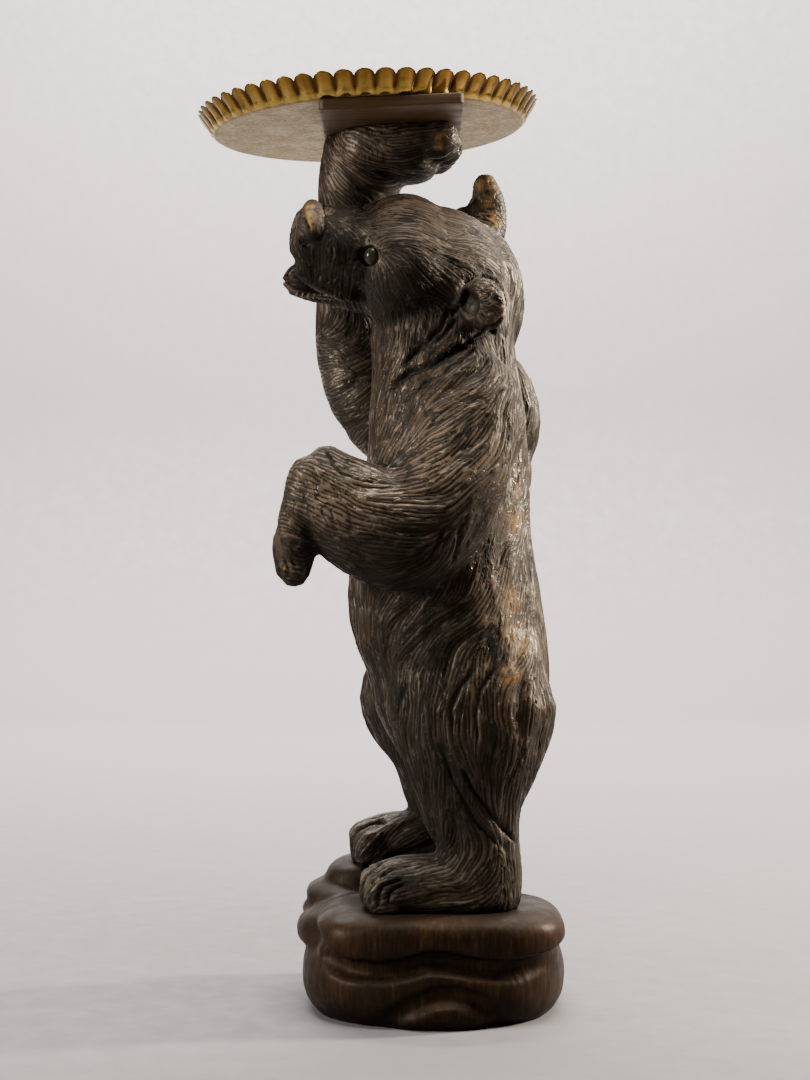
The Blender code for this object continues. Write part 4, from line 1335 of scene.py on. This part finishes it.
def build_tray(material):
    """Thin brass dish: a chased floor and a flared rim of rounded scallops."""
    sizes = settings()[0]
    count, sheet, tall = sizes.scallops, sizes.sheet, sizes.rim_height
    foot = sizes.tray_diameter / 2 - sizes.tray_flare

    def wall(share, inset, easing=0.0):
        """Loop on the rim, at a share of its height; a lobe is 0 in the crease between two scallops."""
        def shape(angle):
            lobe = abs(math.sin(angle * count / 2))
            radius = foot + sizes.tray_flare * share ** 0.85 - inset
            radius -= CREASE_DEPTH * (1 - lobe ** 0.7) * min(1, share * 2.2) ** 0.8
            bead = math.exp(-((share - 0.17) / 0.08) ** 2) * lobe ** 2
            drop = CREASE_DROP * (1 - lobe ** 0.55) * share ** 3
            return radius + FOOT_BEAD * bead + easing, tall * share - drop
        return shape

    def floor(radius, upper):
        """Loop on the floor, with its chased rings and two rows of petals."""
        def shape(angle):
            share = radius / foot
            lines = [(0.95, 0.008), (0.9, 0.006), (0.62, 0.008), (0.58, 0.006), (0.2, 0.01)]
            lines.append((0.36 + 0.14 * abs(math.cos(angle * 16)) ** 0.5, 0.012))
            lines.append((0.74 + 0.08 * abs(math.cos(angle * 12)), 0.012))
            depth = sum(CHASING_DEPTH * math.exp(-((share - place) / width) ** 2) for place, width in lines)
            return radius, sheet - depth if upper else -0.3 * depth
        return shape

    steps = [0.03 + 0.97 * index / 30 for index in range(31)]
    rises = (0.12, 0.18, 0.26, 0.36, 0.5, 0.64, 0.78, 0.9, 0.97)
    shapes = [floor(share * (foot - FOOT_EASING), False) for share in steps]
    shapes += [wall(share, 0.0) for share in (0.06, *rises)]
    shapes += [wall(1.0, 0.0, -LIP_EASING), wall(1.0, sheet, LIP_EASING)]
    shapes += [wall(share, sheet) for share in (*reversed(rises), 0.09)]
    shapes += [floor(share * (foot - sheet - FOOT_EASING), True) for share in reversed(steps)]
    bm = bmesh.new()
    centre_under = loop = bmesh.ops.create_circle(bm, segments=count * 16, radius=0.004)["verts"]
    for shape in shapes:
        loop = tray_loop(bm, loop, shape)
    for end in (centre_under, loop):
        cap = bmesh.ops.contextual_create(bm, geom=loop_edges(end))["faces"]
        bmesh.ops.poke(bm, faces=cap)
    bmesh.ops.recalc_face_normals(bm, faces=bm.faces)
    bmesh.ops.transform(bm, matrix=tray_frame(), verts=bm.verts)
    tray = add_object("scalloped_tray", bm, material)
    finish_piece(tray, "brass_tray")
    return tray


class Paint:
    """Builds the nodes of one material, a call for each node."""

    def __init__(self, name):
        self.material = bpy.data.materials.new(name)
        self.material.use_nodes = True
        self.tree = self.material.node_tree
        self.coords = self.node("ShaderNodeTexCoord").outputs["Object"]

    def plug(self, socket, value):
        """Link a socket or give it its value; a colour gets its alpha here."""
        if isinstance(value, bpy.types.NodeSocket):
            self.tree.links.new(value, socket)
        elif value is not None:
            socket.default_value = (*value, 1.0) if socket.type == "RGBA" else value

    def node(self, kind, inputs=None, **values):
        """New node with its settings, then with what goes into it."""
        made = self.tree.nodes.new(kind)
        for name, value in values.items():
            setattr(made, name, value)
        for name, value in (inputs or {}).items():
            self.plug(made.inputs[name], value)
        return made

    def finished(self, inputs):
        """The material, with what goes into its shader."""
        for name, value in inputs.items():
            self.plug(self.tree.nodes["Principled BSDF"].inputs[name], value)
        return self.material

    def stretched(self, scale, turn=(0, 0, 0), place=(0, 0, 0)):
        """The object's coordinates, moved, turned and stretched."""
        return self.node("ShaderNodeMapping", {
            "Location": place, "Scale": scale, "Rotation": turn, "Vector": self.coords,
        }).outputs["Vector"]

    def noise(self, scale, detail=4.0, rough=0.55, distortion=0.0, where=None):
        return self.node("ShaderNodeTexNoise", {
            "Scale": scale, "Detail": detail, "Roughness": rough, "Distortion": distortion,
            "Vector": where or self.coords,
        }).outputs["Fac"]

    def attribute(self, name):
        return self.node("ShaderNodeAttribute", attribute_name=name).outputs["Fac"]

    def ranged(self, value, low, high, to_low=0.0, to_high=1.0):
        return self.node("ShaderNodeMapRange", {
            "From Min": low, "From Max": high, "To Min": to_low, "To Max": to_high, "Value": value,
        }, clamp=True, interpolation_type="SMOOTHSTEP").outputs["Result"]

    def math(self, operation, first, second):
        return self.node("ShaderNodeMath", {0: first, 1: second}, operation=operation,
                         use_clamp=operation != "SUBTRACT").outputs["Value"]

    def mix(self, share, first, second):
        return self.node("ShaderNodeMix", {"Factor": share, "A": first, "B": second},
                         data_type="RGBA", blend_type="MIX", clamp_factor=True).outputs["Result"]

    def layered(self, base, *layers):
        """A base tone under layers of (share, tone)."""
        for share, tone in layers:
            base = self.mix(share, base, tone)
        return base

    def axis(self, vector, name):
        """One coordinate of a vector."""
        return self.node("ShaderNodeSeparateXYZ", {"Vector": vector}).outputs[name]

    def upward(self):
        """How far a face looks up."""
        return self.axis(self.node("ShaderNodeNewGeometry").outputs["Normal"], "Z")

    def dusted(self, up, low, high, most):
        """Share of dust, uneven, on faces that look up."""
        uneven = self.ranged(self.noise(9.0, 3.0), 0.3, 0.7, 0.5, 1.0)
        return self.math("MULTIPLY", self.ranged(up, low, high, 0.0, most), uneven)

    def bump(self, height, distance, strength=1.0, below=None):
        return self.node("ShaderNodeBump", {
            "Strength": strength, "Distance": distance, "Height": height, "Normal": below,
        }).outputs["Normal"]


def fur_wood():
    """Dark stain in the strokes, worn browns on the crests, a dusty bloom on top and waxed ridges, with
    painted shade on faces that look down and in the hollows, broad painted light and shade, and painted
    glints in the worn gold.
    """
    finish = settings()[1]
    paint = Paint("carved_fur_wood")
    mark = paint.attribute
    strands = paint.node("ShaderNodeTexNoise", {
        "Scale": 1.0, "Detail": 2.5, "Roughness": 0.55,
        "Vector": paint.stretched(STRAND_VARIETY), "W": mark("strand"),
    }, noise_dimensions="4D").outputs["Fac"]
    relief = paint.math("MULTIPLY", mark("relief"), paint.ranged(strands, 0.36, 0.52, 0.35, 1.0))
    patches = paint.noise(6.0, 4.0, 0.6)
    streaks = paint.noise(70.0, 4.0, 0.6, where=paint.stretched((1.0, 1.0, 0.3), (0, 0.5, 0)))
    up = paint.upward()
    # Broad painted light and shade, partly darker stain, from the painted light and shade map
    tone = mark("tone")
    light = paint.ranged(tone, 0.0, 1.0, 0.0, 0.7)
    crest = paint.layered(
        finish.ridge_brown,
        (paint.ranged(patches, 0.42, 0.68), finish.ridge_red),
        (paint.ranged(streaks, 0.35, 0.75, 0.0, 0.5), finish.stain_and_underside_shade),
        (paint.dusted(up, -0.1, 0.7, 0.95), finish.dust),
        # Painted shade: darker the more a face looks down
        (paint.ranged(up, -0.6, 0.3, 0.85, 0.0), finish.stain_and_underside_shade),
        # Painted light: lighter crests where the tone is light
        (light, finish.rubbed_and_lit),
        # Painted shade, partly darker stain, where the tone is dark
        (paint.ranged(tone, -1.0, 0.0, 0.85, 0.0), finish.dark_stain_and_shade),
    )
    # Worn gold, partly painted glints
    polish_and_glint = paint.math("MULTIPLY", mark("polish_and_glint"), paint.ranged(paint.noise(160.0, 5.0), 0.3, 0.6))
    base = paint.layered(
        finish.stain_and_underside_shade,
        (paint.ranged(relief, 0.15, 1.0), crest),
        (polish_and_glint, finish.worn_gold_and_glint),
        (mark("bare"), finish.bare_wood),
        # Painted shade, near black, in the mouth, the ear cups, the paw's hollow and between the toes
        (paint.ranged(mark("shade"), 0.1, 0.75), PAINTED_SHADE_BLACK),
        (mark("bead"), BEAD_BROWN),
        (mark("ivory"), TOOTH_BROWN),
    )
    wax = paint.math("MULTIPLY", paint.ranged(paint.noise(11.0, 3.0), 0.38, 0.62), 0.2)
    gloss = paint.math("SUBTRACT", paint.ranged(relief, 0.2, 0.9, 0.8, 0.48), wax)
    gloss = paint.math("ADD", gloss, paint.ranged(tone, -1.0, 0.0, 0.12, 0.0))
    for worn in (light, mark("bead")):
        gloss = paint.math("SUBTRACT", gloss, paint.math("MULTIPLY", worn, 0.2))
    tool = paint.bump(paint.noise(150.0, 3.0), 0.0003, 0.5)
    return paint.finished({
        "Base Color": base, "Roughness": gloss, "Specular IOR Level": 0.32, "Specular Tint": WOOD_SHEEN,
        "Normal": paint.bump(strands, 0.0024, 1.0, tool),
    })


def rock_wood():
    """Smooth stained wood with fine upright grain, darker on top of its ledges, with painted shade under
    them.
    """
    finish = settings()[1]
    paint = Paint("smooth_rock_wood")
    grain = paint.noise(260.0, 6.0, 0.65, where=paint.stretched((1.0, 1.0, 0.09)))
    patches = paint.noise(16.0, 5.0, 0.65)
    warm = tuple(part * factor for part, factor in zip(finish.rock_brown, ROCK_WARMTH))
    up = paint.upward()
    base = paint.layered(
        finish.rock_brown,
        (paint.ranged(patches, 0.42, 0.7), warm),
        (paint.ranged(grain, 0.42, 0.62, 0.0, 0.65), finish.stain_and_underside_shade),
        (paint.ranged(grain, 0.42, 0.3, 0.0, 0.3), ROCK_GRAIN_TONE),
        (paint.dusted(up, 0.2, 1.0, 0.1), finish.dust),
        # Painted shade on faces that look down, under the ledges
        (paint.ranged(up, -0.6, 0.1, 0.6, 0.0), finish.stain_and_underside_shade),
        # Faces that look up are darkened toward the dark stain
        (paint.ranged(up, 0.5, 1.0, 0.0, 0.5), finish.dark_stain_and_shade),
    )
    tool = paint.bump(paint.noise(35.0, 3.0), 0.0012, 0.5)
    return paint.finished({
        "Base Color": base, "Roughness": paint.ranged(paint.noise(40.0, 4.0), 0.3, 0.7, 0.42, 0.6),
        "Specular IOR Level": 0.12, "Specular Tint": WOOD_SHEEN,
        "Normal": paint.bump(grain, 0.0004, 0.6, tool),
    })


def board_wood():
    """Straight-grained stained board."""
    finish = settings()[1]
    paint = Paint("stained_board_wood")
    grain = paint.noise(55.0, 6.0, 0.6, where=paint.stretched((0.06, 1.0, 1.6)))
    fibres = paint.noise(300.0, 4.0, 0.6, where=paint.stretched((0.05, 1.0, 1.6)))
    base = paint.layered(
        finish.board_brown,
        (paint.ranged(grain, 0.3, 0.7, 0.0, 0.7), BOARD_DARK),
        (paint.ranged(fibres, 0.5, 0.75, 0.0, 0.5), BOARD_FIBRE),
    )
    return paint.finished({
        "Base Color": base, "Roughness": paint.ranged(grain, 0.3, 0.7, 0.42, 0.62),
        "Specular IOR Level": 0.25,
        "Normal": paint.bump(fibres, 0.0003, 0.6, paint.bump(grain, 0.0006, 0.5)),
    })


def aged_brass():
    """Brass that is bright on the scallops, brown in their creases and dull on the floor."""
    finish = settings()[1]
    paint = Paint("aged_tray_brass")
    patches = paint.noise(42.0, 5.0, 0.65, 0.3)
    spots = paint.noise(230.0, 3.0, 0.6)
    rim = paint.ranged(paint.attribute("rim"), 0.1, 0.6)
    middle = tray_frame().translation
    rings = paint.node("ShaderNodeTexWave", {
        "Scale": 40.0, "Distortion": 5.0, "Detail": 4.0, "Detail Scale": 1.5,
        "Vector": paint.stretched((1, 1, 1), place=(-middle.x, -middle.y, -middle.z)),
    }, wave_type="RINGS", rings_direction="Z")
    rings = paint.math("MULTIPLY", rings.outputs["Fac"], paint.ranged(rim, 0.2, 0.0))
    bright = paint.layered(
        finish.brass_bright,
        (paint.ranged(paint.attribute("height"), 0.1, 0.9, 0.0, 0.8), BRASS_SHOULDER),
        (paint.ranged(patches, 0.5, 0.66, 0.0, 0.75), BRASS_STAIN),
        (paint.ranged(paint.attribute("crease"), 0.1, 0.75), finish.brass_brown),
    )
    base = paint.layered(
        finish.brass_dull,
        (paint.ranged(patches, 0.35, 0.7, 0.0, 0.6), BRASS_PATCH),
        (paint.ranged(spots, 0.45, 0.65, 0.0, 0.55), BRASS_SPECK),
        (paint.ranged(rings, 0.5, 0.95, 0.0, 0.4), BRASS_RING),
        (rim, bright),
    )
    worn = paint.math("MULTIPLY", rim, 0.36)
    hammered = paint.bump(paint.noise(120.0, 2.0), 0.0008, 0.4, paint.bump(rings, 0.0003, 0.4))
    return paint.finished({
        "Metallic": 1.0, "Base Color": base,
        "Roughness": paint.math("SUBTRACT", paint.ranged(patches, 0.3, 0.7, 0.46, 0.62), worn),
        "Normal": paint.bump(spots, 0.0002, 0.35, hammered),
    })


def mark_tray(tray):
    """Attributes for the brass: how high on the rim a point lies, and how deep in a crease."""
    sizes = settings()[0]
    inverse = np.array(tray_frame().inverted())
    points = read_vectors(tray.data.vertices, "co")
    local = points @ inverse[:3, :3].T + inverse[:3, 3]
    past_foot = np.hypot(local[:, 0], local[:, 1]) - sizes.tray_diameter / 2 + sizes.tray_flare
    rim = np.clip(past_foot / (3 * MM), 0, 1)
    lobe = np.abs(np.sin(np.arctan2(local[:, 1], local[:, 0]) * sizes.scallops / 2))
    height = np.clip(local[:, 2] / sizes.rim_height, 0, 1)
    write_attribute(tray.data, "rim", rim)
    write_attribute(tray.data, "crease", rim * (1 - lobe) ** 1.1 * np.clip(height * 3 - 0.2, 0, 1))
    write_attribute(tray.data, "height", rim * height)


def pale_floor():
    """Matt floor paint, with painted shade that deepens its tone towards the front."""
    paint = Paint("pale_floor")
    shade = tuple(part * 0.93 for part in FLOOR_TONE)
    # Painted shade: the floor darkens towards the front and the sweep into the backdrop stays pale
    front = paint.ranged(paint.axis(paint.coords, "Y"), 0.4, 3.0, 0.24, 0.0)
    return paint.finished({
        "Base Color": paint.layered(FLOOR_TONE, (paint.noise(1.3, 2.0), shade), (front, (0.0, 0.0, 0.0))),
        "Roughness": paint.ranged(paint.noise(30.0, 3.0), 0.3, 0.7, 0.65, 0.9),
        "Normal": paint.bump(paint.noise(600.0, 2.0), 0.0002, 0.2),
    })


def build_floor():
    """Pale floor that rises in one sweep into the backdrop."""
    bm = bmesh.new()
    half, front, back, sweep, tall = 4.5, -4.5, 3.1, 0.9, 3.8
    start = [bm.verts.new((-half, front, 0)), bm.verts.new((half, front, 0))]
    edge = bm.edges.new(start)
    profile = [(back, 0.0)]
    for step in range(1, 17):
        angle = math.pi / 2 * step / 16
        profile.append((back + sweep * math.sin(angle), sweep * (1 - math.cos(angle))))
    profile.append((back + sweep, tall))
    for y, z in profile:
        grown = bmesh.ops.extrude_edge_only(bm, edges=[edge])["geom"]
        edge = next(item for item in grown if isinstance(item, bmesh.types.BMEdge) and item.is_boundary
                    and all(vert in grown for vert in item.verts))
        for vert in edge.verts:
            vert.co.y, vert.co.z = y, z
    bmesh.ops.recalc_face_normals(bm, faces=bm.faces)
    floor = add_object("studio_floor", bm, pale_floor())
    floor.data.shade_smooth()


def add_lights():
    """Soft studio light from above, from the right behind, from the left, and on the backdrop."""
    for name, place, target, size, power, tone in LIGHTS:
        light = bpy.data.lights.new(name, "AREA")
        light.shape = "RECTANGLE"
        light.size, light.size_y = size
        light.energy = power
        light.color = tone
        item = place_in_scene(name, light)
        item.location = place
        item.rotation_euler = (Vector(target) - Vector(place)).to_track_quat("-Z", "Y").to_euler()
    world = bpy.data.worlds.new("studio_air")
    world.use_nodes = True
    air = world.node_tree.nodes["Background"].inputs
    air["Color"].default_value = AIR_TONE
    air["Strength"].default_value = AIR_STRENGTH
    bpy.context.scene.world = world


def add_camera():
    """Level camera at the photograph's place."""
    data = bpy.data.cameras.new("camera")
    data.sensor_fit = "VERTICAL"
    data.sensor_height = SENSOR_HEIGHT
    data.lens = CAMERA_LENS
    camera = place_in_scene("camera", data)
    camera.location = CAMERA_PLACE
    camera.rotation_euler = (math.radians(90), 0, 0)
    bpy.context.scene.camera = camera


class CARVEDBEAR_OT_bear(bpy.types.Operator):
    """Carve the bear with its locks, strokes and face"""

    bl_idname = "carved_bear.carve_bear"
    bl_label = "Carve the bear"

    def execute(self, context):
        carve_bear(fur_wood())
        return {"FINISHED"}


class CARVEDBEAR_OT_rock(bpy.types.Operator):
    """Carve the smooth rock that the bear stands on"""

    bl_idname = "carved_bear.carve_rock"
    bl_label = "Carve the rock base"

    def execute(self, context):
        carve_rock_base(rock_wood())
        return {"FINISHED"}


class CARVEDBEAR_OT_board(bpy.types.Operator):
    """Make the board that lies on the raised paw"""

    bl_idname = "carved_bear.make_board"
    bl_label = "Make the board"

    def execute(self, context):
        build_board(board_wood())
        return {"FINISHED"}


class CARVEDBEAR_OT_tray(bpy.types.Operator):
    """Make the round brass tray with its scalloped rim"""

    bl_idname = "carved_bear.make_tray"
    bl_label = "Make the tray"

    def execute(self, context):
        mark_tray(build_tray(aged_brass()))
        return {"FINISHED"}


class CARVEDBEAR_OT_stage(bpy.types.Operator):
    """Set up the pale floor, the soft lights and the camera"""

    bl_idname = "carved_bear.set_stage"
    bl_label = "Set the stage"

    def execute(self, context):
        build_floor()
        add_lights()
        add_camera()
        return {"FINISHED"}


OPERATORS = (
    CARVEDBEAR_OT_stage, CARVEDBEAR_OT_tray, CARVEDBEAR_OT_board, CARVEDBEAR_OT_rock, CARVEDBEAR_OT_bear,
)


class CARVEDBEAR_PT_panel(bpy.types.Panel):
    """Sizes, colours and steps of the carved bear"""

    bl_label = "Carved bear"
    bl_idname = "CARVEDBEAR_PT_panel"
    bl_space_type = "VIEW_3D"
    bl_region_type = "UI"
    bl_category = "Carved bear"

    def draw(self, context):
        for group in (context.scene.carved_bear_sizes, context.scene.carved_bear_finish):
            box = self.layout.box()
            for name in group.bl_rna.properties.keys():
                if name not in {"rna_type", "name"}:
                    box.prop(group, name)
        for operator in OPERATORS:
            self.layout.operator(operator.bl_idname)


CLASSES = (CarvedBearSizes, CarvedBearFinish, *OPERATORS, CARVEDBEAR_PT_panel)


def register():
    for item in CLASSES:
        bpy.utils.register_class(item)
    bpy.types.Scene.carved_bear_sizes = PointerProperty(type=CarvedBearSizes)
    bpy.types.Scene.carved_bear_finish = PointerProperty(type=CarvedBearFinish)


def unregister():
    del bpy.types.Scene.carved_bear_finish
    del bpy.types.Scene.carved_bear_sizes
    for item in reversed(CLASSES):
        bpy.utils.unregister_class(item)


def main():
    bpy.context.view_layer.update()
    register()
    bpy.ops.carved_bear.set_stage()
    bpy.ops.carved_bear.make_tray()
    bpy.ops.carved_bear.make_board()
    bpy.ops.carved_bear.carve_rock()
    bpy.ops.carved_bear.carve_bear()


if __name__ == "__main__":
    main()
